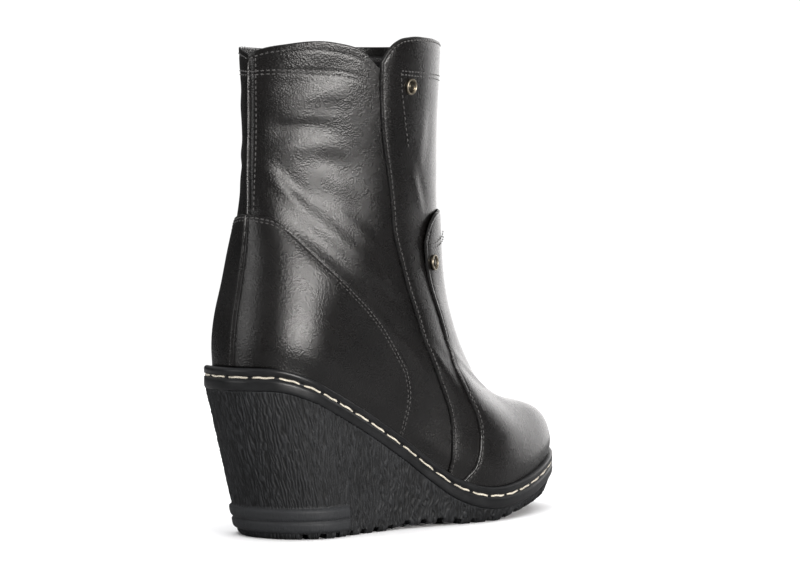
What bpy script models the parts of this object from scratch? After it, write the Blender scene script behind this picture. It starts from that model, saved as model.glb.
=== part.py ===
"""Ankle boot for the right foot, on a moulded wedge sole, with a flap down its front.

Every piece comes from one form, the outer face of the hollow upper. skin(v, w, out) gives
its points: v climbs from the feather edge at 0 to the collar at 1, and w goes round, with 0
at the centre back, 0.5 on the lateral side, 1 at the centre front and 1.5 on the medial side.
The toe points to -Y, the lateral side is -X and the floor is z = 0. Lengths are in metres.
"""

import bmesh
import bpy
import numpy as np

MM = 0.001

# Main sizes of the boot
LENGTH = 0.240
BALL_WIDTH = 0.094
HEEL_HEIGHT = 0.0745
SHAFT_RISE = 0.161
TOE_SPRING = 0.0115
GAP = 0.3 * MM
NUDGE = 1e-3

# Thickness of the materials
WALL = 2.4 * MM
OVERLAY = 1.2 * MM
INSOLE_THICKNESS = 3.0 * MM
OVER_UPPER = GAP
OVER_PANEL = GAP + OVERLAY + GAP

# Welt and sole
WELT_WIDTH = 5.4 * MM
WELT_HEIGHT = 9.0 * MM
LIP_ROUND = 1.6 * MM
LIP_CORNER = 0.3 * LIP_ROUND
GROOVE_RISE = 4.6 * MM
GROOVE_WIDTH = 1.4 * MM
GROOVE_DEPTH = 0.8 * MM
SOLE_SET_BACK = 0.4 * MM
HEEL_SLANT = 20 * MM
SLANT_REACH = 0.42
RIB_PROUD = 1.8 * MM
RIB_END = 0.20
RIB_FADE = 0.02
EDGE_CHAMFER = 1.0 * MM
LUG_PITCH = 12.5 * MM
LUG_GAP = 4.8 * MM
LUG_DEPTH = 2.6 * MM
LUG_REACH = 9.0 * MM
LUG_FREE_BACK = 0.75

# Snap caps
SNAP_RADIUS = 4.0 * MM
SNAP_HEIGHT = 1.2 * MM

# Stations round and rows up each piece
UPPER_COLUMNS = 48
UPPER_SHARES = (0.0, 0.06, 0.12, 0.18, 0.24, 0.30, 0.36, 0.42, 0.48, 0.54, 0.61, 0.69, 0.79, 0.89, 1.0)
FLAP_RISES = (9 * MM, 16 * MM)
SOLE_COLUMNS = 56
CUTTER_COLUMNS = 28
CUTTER_ROWS = 8
SNAP_COLUMNS = 12

# Sole along its length: share of LENGTH, height of its top as a share of HEEL_HEIGHT,
# height of its underside as a share of TOE_SPRING, and inset of the lower edge in mm
SOLE = np.array([
    (0.00, 1.000, 0.00, 4.0),
    (0.05, 0.993, 0.00, 4.2),
    (0.10, 0.940, 0.00, 4.4),
    (0.16, 0.859, 0.00, 4.5),
    (0.23, 0.758, 0.00, 4.5),
    (0.31, 0.631, 0.00, 4.5),
    (0.36, 0.540, 0.00, 4.4),
    (0.39, 0.483, 0.11, 4.2),
    (0.46, 0.329, 0.13, 4.0),
    (0.52, 0.208, 0.10, 3.9),
    (0.55, 0.168, 0.00, 3.7),
    (0.58, 0.138, 0.00, 3.5),
    (0.65, 0.112, 0.00, 3.0),
    (0.72, 0.130, 0.20, 3.0),
    (0.80, 0.178, 0.44, 3.2),
    (0.90, 0.258, 0.71, 4.2),
    (1.00, 0.310, 1.00, 6.0),
])

# Centreline of the foot: share of LENGTH, and offset to the medial side as a share of BALL_WIDTH
CENTRE = np.array([
    (0.00, 0.000),
    (0.20, 0.000),
    (0.42, -0.020),
    (0.66, -0.010),
    (0.85, 0.032),
    (1.00, 0.074),
])

# Rings of the upper, from the feather edge to the collar. Ends are shares of LENGTH from the
# heel and rises are shares of SHAFT_RISE above the sole. Level 0 follows the sole and level 1
# is straight. Half widths are shares of half of BALL_WIDTH. Rounding is a share of the ring.
RING_COLUMNS = ("v", "back", "back_rise", "front", "front_rise", "level",
                "heel", "waist", "ball", "toe", "back_round", "front_round", "back_power")
RINGS = np.array([
    (0.00, 0.0250, 0.000, 0.9770, 0.000, 0.00, 0.585, 0.580, 0.820, 0.760, 0.13, 0.25, 2.0),
    (0.06, 0.0250, 0.056, 0.9820, 0.056, 0.00, 0.595, 0.585, 0.830, 0.770, 0.13, 0.25, 2.0),
    (0.14, 0.0270, 0.124, 0.9850, 0.106, 0.00, 0.650, 0.620, 0.860, 0.770, 0.14, 0.25, 2.0),
    (0.24, 0.0350, 0.205, 0.9580, 0.170, 0.25, 0.660, 0.660, 0.825, 0.690, 0.15, 0.28, 2.0),
    (0.34, 0.0475, 0.292, 0.8510, 0.242, 0.50, 0.650, 0.690, 0.760, 0.590, 0.18, 0.34, 2.0),
    (0.46, 0.0610, 0.404, 0.7310, 0.345, 0.80, 0.655, 0.710, 0.700, 0.620, 0.26, 0.40, 2.0),
    (0.58, 0.0680, 0.516, 0.6450, 0.516, 1.00, 0.670, 0.710, 0.700, 0.670, 0.38, 0.45, 1.8),
    (0.70, 0.0690, 0.627, 0.6030, 0.696, 1.00, 0.700, 0.720, 0.715, 0.700, 0.48, 0.50, 1.6),
    (0.80, 0.0700, 0.745, 0.5850, 0.907, 1.00, 0.740, 0.740, 0.740, 0.740, 0.50, 0.50, 1.5),
    (0.90, 0.0708, 0.876, 0.5770, 1.143, 1.00, 0.785, 0.785, 0.785, 0.785, 0.50, 0.50, 1.5),
    (1.00, 0.0708, 1.000, 0.5790, 1.398, 1.00, 0.850, 0.850, 0.850, 0.850, 0.50, 0.50, 1.5),
])
WIDTH_KNOTS = (0.0, 0.15, 0.42, 0.68, 0.86, 1.0)
FRONT_POWER = 2.2
BALL_SKEW = 0.03
LEVEL_STRAIGHTENS = 0.7

# Collar edge: w round from the centre back, and height over the last ring in mm
COLLAR = np.array([
    (0.00, -1.5), (0.16, 2.6), (0.33, 3.6), (0.40, 0.0), (0.46, -9.0), (0.55, -8.0),
    (0.75, -5.0), (1.00, -3.0), (1.30, 0.0), (1.60, 2.4), (1.84, 1.8), (2.00, -1.5),
])

# Counter: across from the centre back at 0 to its front edge at 1, and v of its top edge
COUNTER_TOP = np.array([
    (0.00, 0.579), (0.18, 0.581), (0.30, 0.580), (0.40, 0.563), (0.57, 0.509), (0.68, 0.480),
    (0.77, 0.457), (0.86, 0.430), (0.92, 0.395), (0.96, 0.352), (1.00, 0.300),
])
# Front edge of the counter: v and w
COUNTER_EDGE = np.array([(0.06, 0.430), (0.15, 0.434), (0.24, 0.442), (0.32, 0.446), (0.60, 0.446)])

# Front panel: v and w of its lateral edge, the medial edge being the same on the other side
PANEL_EDGE = np.array([
    (0.06, 0.508), (0.20, 0.511), (0.34, 0.520), (0.43, 0.531), (0.50, 0.541), (0.57, 0.537),
    (0.64, 0.528), (0.70, 0.512), (0.76, 0.505), (0.81, 0.492), (0.86, 0.475), (0.92, 0.462),
    (0.98, 0.454), (1.06, 0.450),
])
# Front panel: across from its lateral edge at 0 to its medial edge at 1, and v of its lower edge
PANEL_FOOT = np.array([
    (0.00, 0.068), (0.20, 0.068), (0.23, 0.16), (0.27, 0.34), (0.34, 0.42), (0.66, 0.42),
    (0.73, 0.34), (0.77, 0.16), (0.80, 0.068), (1.00, 0.068),
])
# Front panel: across in the same way, and height of its top edge over the last ring in mm
PANEL_TOP = np.array([
    (0.00, -6.0), (0.012, -2.0), (0.030, 2.2), (0.055, 5.0), (0.09, 6.2), (0.18, 6.0),
    (0.36, 3.4), (0.50, 2.6), (0.75, 2.6), (0.92, 2.4), (0.97, 1.2), (1.00, -2.0),
])

# Vamp: v and w of its lateral edge, the medial edge being the same on the other side
VAMP_EDGE = np.array([
    (0.06, 0.530), (0.14, 0.547), (0.20, 0.559), (0.27, 0.571), (0.33, 0.582), (0.40, 0.600),
    (0.48, 0.640), (0.55, 0.660), (0.62, 0.648), (0.68, 0.638), (0.84, 0.632),
])
# Vamp: across from its lateral edge at 0 to its medial edge at 1, and v of its top edge
VAMP_TOP = np.array([
    (0.00, 0.715), (0.03, 0.742), (0.08, 0.767), (0.16, 0.784), (0.30, 0.797), (0.50, 0.804),
    (0.70, 0.797), (0.84, 0.784), (0.92, 0.767), (0.97, 0.742), (1.00, 0.715),
])
FOOT_V = 0.068
TRIM_ABOVE = 6 * MM
TRIM_BELOW = 1.5 * MM
TUCK_V = 0.42
TUCK_FADE = 0.08
TUCK_W = 0.26

# Side of the sole from its top down: height over the underside in mm, the most that this may
# be as a share of the thickness there, and how far the heel's ribs stand out, as a share
SOLE_SIDE = np.array([
    (75.0, 1.00, 0.0),
    (50.0, 0.72, 0.0),
    (30.0, 0.50, 0.0),
    (15.2, 0.36, 0.0),
    (14.2, 0.33, 1.0),
    (9.4, 0.27, 1.0),
    (8.8, 0.25, 0.2),
    (8.2, 0.23, 1.0),
    (4.0, 0.17, 1.0),
    (3.2, 0.14, 0.0),
    (1.2, 0.10, 0.0),
    (0.0, 0.00, 0.0),
])

# Snaps: v, w and height of the face that each sits on
SNAPS = {
    "snap_upper": (0.946, 0.566, OVER_UPPER + OVERLAY),
    "snap_lower": (0.688, 0.676, OVER_PANEL + OVERLAY),
}
# Snap cap: radius and height as shares of SNAP_RADIUS and SNAP_HEIGHT
SNAP_PROFILE = np.array([
    (0.90, 0.00), (1.00, 0.25), (0.94, 0.62), (0.80, 0.70), (0.72, 0.50), (0.60, 0.50),
    (0.48, 0.86), (0.25, 1.00),
])

# Colour, roughness and metallic
LEATHER = ((0.014, 0.012, 0.012), 0.30, 0.0)
LINING = ((0.030, 0.028, 0.028), 0.85, 0.0)
SOLE_RUBBER = ((0.048, 0.051, 0.056), 0.75, 0.0)
WELT_RUBBER = ((0.040, 0.042, 0.046), 0.60, 0.0)
BRASS = ((0.42, 0.30, 0.17), 0.35, 1.0)


def smooth(knots, values, at):
    """Cubic through the values at the knots, going on straight past both ends."""
    knots, values = np.asarray(knots, float), np.asarray(values, float)
    flat = values.ndim == 1
    values = values[:, None] if flat else values
    step = np.diff(knots)[:, None]
    slope = np.diff(values, axis=0) / step
    ends = np.empty_like(values)
    ends[0], ends[-1] = slope[0], slope[-1]
    ends[1:-1] = (slope[:-1] * step[1:] + slope[1:] * step[:-1]) / (step[1:] + step[:-1])
    at = np.asarray(at, float)
    inside = np.clip(at, knots[0], knots[-1])
    cell = np.clip(np.searchsorted(knots, inside, side="right") - 1, 0, len(knots) - 2)
    width = step[cell]
    t = ((inside - knots[cell])[..., None]) / width
    found = ((2 * t**3 - 3 * t**2 + 1) * values[cell] + (t**3 - 2 * t**2 + t) * width * ends[cell]
             + (3 * t**2 - 2 * t**3) * values[cell + 1] + (t**3 - t**2) * width * ends[cell + 1])
    beyond = (at - inside)[..., None]
    found = found + beyond * np.where(beyond < 0, ends[0], ends[-1])
    return found[..., 0] if flat else found


def along(table, at, column=1):
    """Value of one column of a table at positions in its first column."""
    return smooth(table[:, 0], table[:, column], at)


def sole_top(s):
    """Height of the sole's top at distance s from the heel's back end."""
    return along(SOLE, s / LENGTH, 1) * HEEL_HEIGHT


def sole_under(s):
    """Height of the sole's underside, never under the floor."""
    return np.maximum(along(SOLE, s / LENGTH, 2), 0) * TOE_SPRING


def ring_point(v, w):
    """Point of the upper's outer face, before it is centred over the origin."""
    v, w = np.broadcast_arrays(np.asarray(v, float), np.asarray(w, float))
    row = dict(zip(RING_COLUMNS[1:], np.moveaxis(smooth(RINGS[:, 0], RINGS[:, 1:], v), -1, 0)))
    t = (1 - np.cos(np.pi * w)) / 2
    side = -np.sign(np.sin(np.pi * w))
    level = np.clip(row["level"], 0, 1)
    skewed = np.clip(t - side * BALL_SKEW * np.sin(np.pi * t) * (1 - level), 0, 1)
    widths = np.stack([row["heel"], row["heel"], row["waist"], row["ball"], row["toe"], row["toe"]], -1)
    half = (smooth(WIDTH_KNOTS, np.eye(len(WIDTH_KNOTS)), skewed) * widths).sum(-1) * BALL_WIDTH / 2
    at_back = np.clip(1 - t / row["back_round"], 0, 1)
    at_front = np.clip(1 - (1 - t) / row["front_round"], 0, 1)
    half = half * (1 - at_back ** row["back_power"]) ** (1 / row["back_power"])
    half = half * (1 - at_front**FRONT_POWER) ** (1 / FRONT_POWER)
    back, front = row["back"] * LENGTH, row["front"] * LENGTH
    s = back + (front - back) * t
    back_rise, front_rise = row["back_rise"] * SHAFT_RISE, row["front_rise"] * SHAFT_RISE
    followed = sole_top(s) + back_rise + (front_rise - back_rise) * t
    back_z, front_z = sole_top(back) + back_rise, sole_top(front) + front_rise
    straight = back_z + (front_z - back_z) * t
    x = along(CENTRE, s / LENGTH) * BALL_WIDTH * (1 - LEVEL_STRAIGHTENS * level) + side * half
    return np.stack([x, -s, followed + (straight - followed) * level], -1)


def face_normal(v, w):
    """Outward unit normal of the upper's outer face."""
    v, w = np.broadcast_arrays(np.asarray(v, float), np.asarray(w, float))
    round_way = ring_point(v, w + NUDGE) - ring_point(v, w - NUDGE)
    up_way = ring_point(v + NUDGE, w) - ring_point(v - NUDGE, w)
    normal = np.cross(round_way, up_way)
    return normal / np.linalg.norm(normal, axis=-1, keepdims=True)


def skin(v, w, out=0.0):
    """Point at a distance out from the upper's outer face, found along the face's normal."""
    return ring_point(v, w) + face_normal(v, w) * np.asarray(out, float)[..., None]


def plan_grown(points, width):
    """Closed outline moved outwards in plan, its height kept."""
    step = np.roll(points, -1, axis=0) - np.roll(points, 1, axis=0)
    normal = np.stack([step[:, 1], -step[:, 0]], -1)
    normal /= np.linalg.norm(normal, axis=1, keepdims=True)
    centre = points[:, :2].mean(axis=0)
    if ((points[:, :2] - centre) * normal).sum() < 0:
        normal = -normal
    grown = points.copy()
    grown[:, :2] += normal * np.broadcast_to(width, len(points))[:, None]
    return grown, normal


def stations(count):
    return np.arange(count) * 2 / count


def middle_of_plan():
    """Middle of the welt's outline, which stands over the origin."""
    outline, _ = plan_grown(skin(0.0, stations(SOLE_COLUMNS)), GAP + WELT_WIDTH)
    return (outline[:, :2].min(axis=0) + outline[:, :2].max(axis=0)) / 2


MIDDLE = middle_of_plan()


def principled(name, look):
    colour, roughness, metallic = look
    material = bpy.data.materials.new(name)
    material.use_nodes = True
    shader = material.node_tree.nodes["Principled BSDF"]
    shader.inputs["Base Color"].default_value = (*colour, 1.0)
    shader.inputs["Roughness"].default_value = roughness
    shader.inputs["Metallic"].default_value = metallic
    material.diffuse_color = (*colour, 1.0)
    return material


def add_solid(name, points, faces, material, crease=35):
    """One closed mesh facing outwards, centred over the origin in plan."""
    points = np.array(points, float)
    points[:, :2] -= MIDDLE
    mesh = bpy.data.meshes.new(name)
    mesh.from_pydata(points.tolist(), [], [tuple(int(i) for i in face) for face in faces])
    work = bmesh.new()
    work.from_mesh(mesh)
    bmesh.ops.recalc_face_normals(work, faces=work.faces)
    work.to_mesh(mesh)
    work.free()
    mesh.polygons.foreach_set("use_smooth", [True] * len(mesh.polygons))
    mesh.set_sharp_from_angle(angle=np.radians(crease))
    solid = bpy.data.objects.new(name, mesh)
    mesh.materials.append(material)
    bpy.context.collection.objects.link(solid)
    return solid


def quads(rows):
    """Faces between the rows of a grid of point numbers."""
    return np.stack([rows[:-1, :-1], rows[:-1, 1:], rows[1:, 1:], rows[1:, :-1]], -1).reshape(-1, 4)


def tiles(rows):
    """Two triangles to each cell of a grid, split the same way in every piece."""
    cells = quads(rows)
    return np.concatenate([cells[:, [0, 1, 2]], cells[:, [0, 2, 3]]])


def wrapped(rows):
    return np.concatenate([rows, rows[:, :1]], axis=1)


def add_band(name, outer, inner, material):
    """Solid between two grids that go all the way round."""
    numbers = np.arange(outer.shape[0] * outer.shape[1]).reshape(outer.shape[:2])
    inside = numbers + numbers.size
    faces = np.concatenate([
        tiles(wrapped(numbers)), tiles(wrapped(inside)),
        tiles(wrapped(np.stack([numbers[0], inside[0]]))),
        tiles(wrapped(np.stack([numbers[-1], inside[-1]]))),
    ])
    return add_solid(name, np.concatenate([outer.reshape(-1, 3), inner.reshape(-1, 3)]), faces, material)


def add_sheet(name, outer, inner, material):
    """Solid between two grids that have four free edges."""
    numbers = np.arange(outer.shape[0] * outer.shape[1]).reshape(outer.shape[:2])
    inside = numbers + numbers.size
    edge = np.concatenate([numbers[0], numbers[1:, -1], numbers[-1, -2::-1], numbers[-2:0:-1, 0]])
    rim = wrapped(np.stack([edge, edge + numbers.size]))
    faces = np.concatenate([quads(numbers), quads(inside), quads(rim)])
    return add_solid(name, np.concatenate([outer.reshape(-1, 3), inner.reshape(-1, 3)]), faces, material)


def collar_v(w, height):
    """v at a height over the last ring."""
    climb = (ring_point(1.0, w) - ring_point(1.0 - NUDGE, w))[..., 2] / NUDGE
    return 1 + height / climb


def upper_rows(rises=()):
    """v of rows up the upper to the collar's own edge, then of rows over it, and w round it."""
    w = stations(UPPER_COLUMNS)
    top = collar_v(w, along(COLLAR, w) * MM)
    rows = [top * share for share in UPPER_SHARES] + [collar_v(w, rise) for rise in rises]
    return np.array(rows), w


def make_upper(material):
    v, w = upper_rows()
    outer, inner = skin(v, w), skin(v, w, -WALL)
    for face in (outer, inner):
        face[0, :, 2] = sole_top(-face[0, :, 1]) + GAP
    return add_band("upper", outer, inner, material)


def keep_inside(solid, name, v, w):
    """Trims a band to the part of the form that a patch of v and w covers."""
    cutter = add_sheet(name, skin(v, w, TRIM_ABOVE), skin(v, w, -TRIM_BELOW), solid.data.materials[0])
    cutter.hide_render = True
    cutter.display_type = "WIRE"
    trim = solid.modifiers.new("outline", "BOOLEAN")
    trim.operation, trim.solver, trim.object = "INTERSECT", "EXACT", cutter
    return solid


def make_sole(material):
    outline, normal = plan_grown(skin(0.0, stations(SOLE_COLUMNS)), GAP + WELT_WIDTH - SOLE_SET_BACK)
    s = -outline[:, 1]
    top = sole_top(s)
    thickness = top - sole_under(s)
    heel_only = np.clip((RIB_END - s / LENGTH) / RIB_FADE, 0, 1)
    rows = []
    for height, most, rib in SOLE_SIDE:
        rise = np.minimum(height * MM, most * thickness)
        down = 1 - rise / thickness
        slant = HEEL_SLANT * np.clip(1 - s / (SLANT_REACH * LENGTH), 0, 1) * down
        inset = along(SOLE, s / LENGTH, 3) * MM * down - RIB_PROUD * rib * heel_only
        row = outline.copy()
        row[:, :2] -= normal * (inset + (EDGE_CHAMFER if height == 0 else 0))[:, None]
        row[:, 1] -= slant
        under = sole_under(-row[:, 1])
        row[:, 2] = under + rise if most < 1 else top
        rows.append(row)
    rows = np.array(rows)
    count = rows.shape[1]
    numbers = np.arange(rows.shape[0] * count).reshape(rows.shape[:2])
    one_side = np.arange(count // 2 + 1)
    other_side = (-one_side) % count
    faces = [tuple(face) for face in quads(wrapped(numbers))]
    for row in (numbers[0], numbers[-1]):
        for face in quads(np.stack([row[one_side], row[other_side]])):
            faces.append(tuple(dict.fromkeys(face.tolist())))
    sole = add_solid("wedge_sole", rows.reshape(-1, 3), faces, material)
    cut_lugs(sole, rows[-1])
    return sole


def cut_lugs(sole, edge):
    """Notches across the lower edge, one to each pitch, with none across the heel's back."""
    closed = np.concatenate([edge, edge[:1]])
    lengths = np.linalg.norm(np.diff(closed[:, :2], axis=0), axis=1)
    walked = np.concatenate([[0], np.cumsum(lengths)])
    count = int(round(walked[-1] / LUG_PITCH))
    at = (np.arange(count) + 0.5) * walked[-1] / count
    middle = np.stack([np.interp(at, walked, closed[:, k]) for k in range(3)], -1)
    _, normal = plan_grown(edge, 0.0)
    closed_normal = np.concatenate([normal, normal[:1]])
    out = np.stack([np.interp(at, walked, closed_normal[:, k]) for k in range(2)], -1)
    out /= np.linalg.norm(out, axis=1, keepdims=True)
    cut = out[:, 1] < LUG_FREE_BACK
    middle, out = middle[cut], out[cut]
    side = np.stack([-out[:, 1], out[:, 0]], -1)
    corners = []
    for across in (-0.5, 0.5):
        for reach in (-LUG_REACH, LUG_REACH):
            for height in (-LUG_DEPTH, LUG_DEPTH):
                spot = middle.copy()
                spot[:, :2] += side * LUG_GAP * across + out * reach
                spot[:, 2] += height
                corners.append(spot)
    points = np.stack(corners, 1).reshape(-1, 3)
    box = np.array([(0, 1, 3, 2), (4, 6, 7, 5), (0, 4, 5, 1), (2, 3, 7, 6), (0, 2, 6, 4), (1, 5, 7, 3)])
    faces = (np.arange(len(middle))[:, None, None] * 8 + box).reshape(-1, 4)
    cutter = add_solid("lug_cutter", points, faces, sole.data.materials[0])
    cutter.hide_render = True
    cutter.display_type = "WIRE"
    notches = sole.modifiers.new("lugs", "BOOLEAN")
    notches.operation, notches.solver, notches.object = "DIFFERENCE", "EXACT", cutter


def make_welt(material):
    w = stations(SOLE_COLUMNS)
    foot = skin(0.0, w)
    profile = (
        (0.0, GAP), (WELT_WIDTH, GAP), (WELT_WIDTH, GROOVE_RISE - GROOVE_WIDTH / 2),
        (WELT_WIDTH - GROOVE_DEPTH, GROOVE_RISE), (WELT_WIDTH, GROOVE_RISE + GROOVE_WIDTH / 2),
        (WELT_WIDTH, WELT_HEIGHT - LIP_ROUND), (WELT_WIDTH - LIP_CORNER, WELT_HEIGHT - LIP_CORNER),
        (WELT_WIDTH - LIP_ROUND, WELT_HEIGHT), (0.0, WELT_HEIGHT),
    )
    lean = plan_grown(skin(RINGS[1, 0], w), GAP)[0][:, :2] - plan_grown(skin(0.0, w), GAP)[0][:, :2]
    rows = []
    for reach, height in profile:
        row, _ = plan_grown(foot, GAP + reach)
        inner_share = (1 - reach / WELT_WIDTH) * height / WELT_HEIGHT
        row[:, :2] += lean * inner_share
        row[:, 2] = sole_top(-row[:, 1]) + height
        rows.append(row)
    rows = np.array(rows + rows[:1])
    numbers = np.arange(rows[:-1, :, 0].size).reshape(len(rows) - 1, -1)
    faces = quads(wrapped(np.concatenate([numbers, numbers[:1]])))
    return add_solid("welt", rows[:-1].reshape(-1, 3), faces, material)


def make_insole(material):
    w = stations(UPPER_COLUMNS)
    outline = skin(0.0, w, -WALL - 2 * GAP)
    half = UPPER_COLUMNS // 2
    one_side = np.arange(1, half)
    lateral, medial = outline[one_side], outline[UPPER_COLUMNS - one_side]
    ends = outline[[0, half]]
    across = np.linspace(0, 1, 4)[:, None, None]
    body = lateral + (medial - lateral) * across
    faces = []
    points = []
    for height in (GAP, GAP + INSOLE_THICKNESS):
        layer = np.concatenate([body.reshape(-1, 3), ends])
        layer[:, 2] = sole_top(-layer[:, 1]) + height
        points.append(layer)
    size = len(points[0])
    grid = np.arange(4 * len(one_side)).reshape(4, -1)
    back, front = size - 2, size - 1
    for start in (0, size):
        faces += [tuple(face) for face in quads(grid + start)]
        faces += [(back + start, grid[k, 0] + start, grid[k + 1, 0] + start) for k in range(3)]
        faces += [(front + start, grid[k, -1] + start, grid[k + 1, -1] + start) for k in range(3)]
    rim = np.concatenate([[back], grid[0], [front], grid[-1][::-1]])
    faces += [tuple(face) for face in quads(wrapped(np.stack([rim, rim + size])))]
    return add_solid("insole", np.concatenate(points), faces, material)


def make_counter(material):
    """Stiff leather round the heel, from one side's edge to the other's."""
    v, w = upper_rows()
    band = add_band("heel_counter", skin(v, w, OVER_UPPER + OVERLAY), skin(v, w, OVER_UPPER), material)
    across = np.sin(np.linspace(-np.pi / 2, np.pi / 2, CUTTER_COLUMNS + 1))
    share = np.linspace(0, 1, CUTTER_ROWS)[:, None]
    v = FOOT_V + (along(COUNTER_TOP, np.abs(across)) - FOOT_V) * share
    return keep_inside(band, "counter_outline", v, across * along(COUNTER_EDGE, v))


def between_edges(edge, v, across):
    """w between a lateral edge and the same edge on the medial side."""
    lateral = along(edge, v)
    return lateral + (2 - 2 * lateral) * across


def finer_at_ends(count):
    return (1 - np.cos(np.linspace(0, np.pi, count))) / 2


def make_panel(material):
    """Front panel of the shaft. Its top stands over the collar as a flap."""
    v, w = upper_rows(FLAP_RISES)
    band = add_band("front_panel", skin(v, w, OVER_UPPER + OVERLAY), skin(v, w, OVER_UPPER), material)
    across = finer_at_ends(CUTTER_COLUMNS + 1)
    share = np.linspace(0, 1, CUTTER_ROWS)[:, None]
    foot = np.maximum(along(PANEL_FOOT, across), FOOT_V)
    top = collar_v(between_edges(PANEL_EDGE, 1.0, across), along(PANEL_TOP, across) * MM)
    v = foot + (top - foot) * share
    return keep_inside(band, "panel_outline", v, between_edges(PANEL_EDGE, v, across))


def make_vamp(material):
    """Vamp round the toe, running up the front as a flap over the panel."""
    v, w = upper_rows()
    past_panel = np.clip((TUCK_V - TUCK_FADE - v) / TUCK_FADE, 0, 1)
    past_panel = past_panel * np.clip((TUCK_W - np.abs(w - 1)) / TUCK_FADE, 0, 1)
    under = OVER_PANEL + (OVER_UPPER - OVER_PANEL) * past_panel
    band = add_band("vamp", skin(v, w, OVER_PANEL + OVERLAY), skin(v, w, under), material)
    across = finer_at_ends(CUTTER_COLUMNS + 1)
    share = np.linspace(0, 1, CUTTER_ROWS)[:, None]
    v = FOOT_V + (along(VAMP_TOP, across) - FOOT_V) * share
    return keep_inside(band, "vamp_outline", v, between_edges(VAMP_EDGE, v, across))


def make_snap(name, material):
    """Cap of a press stud, a raised ring round a low dome."""
    v, w, face = SNAPS[name]
    middle = skin(v, w, face + GAP)
    normal = face_normal(v, w)
    side = np.cross(normal, (0.0, 0.0, 1.0))
    side /= np.linalg.norm(side)
    up = np.cross(side, normal)
    angle = np.arange(SNAP_COLUMNS) * 2 * np.pi / SNAP_COLUMNS
    turn = np.cos(angle)[:, None] * side + np.sin(angle)[:, None] * up
    rings = [middle + turn * SNAP_RADIUS * radius + normal * SNAP_HEIGHT * height
             for radius, height in SNAP_PROFILE]
    ends = [middle, middle + normal * SNAP_HEIGHT]
    numbers = np.arange(len(rings) * SNAP_COLUMNS).reshape(len(rings), -1)
    faces = [tuple(face) for face in quads(wrapped(numbers))]
    for ring, end in ((numbers[0], numbers.size), (numbers[-1], numbers.size + 1)):
        faces += [(end, ring[k], ring[(k + 1) % SNAP_COLUMNS]) for k in range(SNAP_COLUMNS)]
    return add_solid(name, np.concatenate(rings + [np.array(ends)]), faces, material)


def main():
    for old in list(bpy.data.objects):
        bpy.data.objects.remove(old, do_unlink=True)
    make_upper(principled("lined_leather", LEATHER))
    make_counter(principled("counter_leather", LEATHER))
    make_panel(principled("panel_leather", LEATHER))
    make_vamp(principled("vamp_leather", LEATHER))
    make_insole(principled("insole_lining", LINING))
    make_welt(principled("welt_rubber", WELT_RUBBER))
    make_sole(principled("sole_rubber", SOLE_RUBBER))
    for name in SNAPS:
        make_snap(name, principled(name + "_brass", BRASS))


main()
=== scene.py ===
"""Looks of a black leather ankle boot on a moulded wedge, built round its packed solids.

Every leather piece comes from the boot's own form. skin(v, w, out) gives a point of it: v climbs
from the feather edge at 0 to the collar at 1, and w goes round, with 0 at the centre back, 0.5 on
the lateral side, 1 at the centre front and 1.5 on the medial side. Lengths are in metres, and in
millimetres where a name or a table's heading says so.
"""

import bpy
import numpy as np
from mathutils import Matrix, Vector


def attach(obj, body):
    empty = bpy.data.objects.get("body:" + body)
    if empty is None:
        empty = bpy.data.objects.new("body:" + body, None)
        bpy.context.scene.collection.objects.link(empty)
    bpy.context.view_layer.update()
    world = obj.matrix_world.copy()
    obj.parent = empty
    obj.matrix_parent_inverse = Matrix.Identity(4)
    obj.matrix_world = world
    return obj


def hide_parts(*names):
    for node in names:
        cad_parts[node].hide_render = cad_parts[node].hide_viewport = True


bl_info = {
    "name": "Wedge ankle boot",
    "version": (1, 0, 0),
    "blender": (4, 5, 0),
    "location": "3D View > Sidebar > Boot",
    "description": "Leather, stitching and sole of a wedge ankle boot, built round its packed solids",
    "category": "Object",
}

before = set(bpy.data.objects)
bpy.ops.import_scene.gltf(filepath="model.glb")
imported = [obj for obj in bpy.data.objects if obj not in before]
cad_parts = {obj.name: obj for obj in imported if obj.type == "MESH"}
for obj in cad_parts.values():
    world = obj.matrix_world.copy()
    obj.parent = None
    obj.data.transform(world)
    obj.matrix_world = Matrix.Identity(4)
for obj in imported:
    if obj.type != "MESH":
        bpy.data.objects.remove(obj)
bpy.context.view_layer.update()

MM = 0.001

# Main sizes of the boot
LENGTH = 0.240
BALL_WIDTH = 0.094
HEEL_HEIGHT = 0.0745
SHAFT_RISE = 0.161
TOE_SPRING = 0.0115
GAP = 0.3 * MM
NUDGE = 1e-3

# Thickness of the materials
WALL = 2.4 * MM
OUTER_LEATHER = 1.3 * MM
OVERLAY = 1.2 * MM
OVER_UPPER = GAP
OVER_PANEL = GAP + OVERLAY + GAP

# Welt and sole
WELT_WIDTH = 5.4 * MM
WELT_HEIGHT = 9.0 * MM
LIP_ROUND = 1.6 * MM
GROOVE_RISE = 4.6 * MM
GROOVE_WIDTH = 1.7 * MM
GROOVE_DEPTH = 0.9 * MM
SOLE_SET_BACK = 0.4 * MM
HEEL_SLANT = 20 * MM
SLANT_REACH = 0.42
RIB_PROUD = 1.8 * MM
RIB_END = 0.20
RIB_FADE = 0.008
EDGE_CHAMFER = 1.0 * MM
LUG_PITCH = 12.5 * MM
LUG_GAP = 4.8 * MM
LUG_DEPTH = 2.6 * MM
LUG_REACH = 9.0 * MM
LUG_FREE_BACK = 0.75
BOTTOM_ROWS = 27
TREAD_DEPTH = 1.2 * MM
TREAD_PITCH = 7 * MM
TREAD_SWING = 3 * MM
TREAD_ZIGZAG = 9 * MM

# Bark on the side of the sole, in mm: ridge to ridge, height of a ridge, and depth of a valley
BARK_PITCH_MM = 1.85
BARK_TALL_MM = 0.95
BARK_SUNK_MM = 0.50

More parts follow.
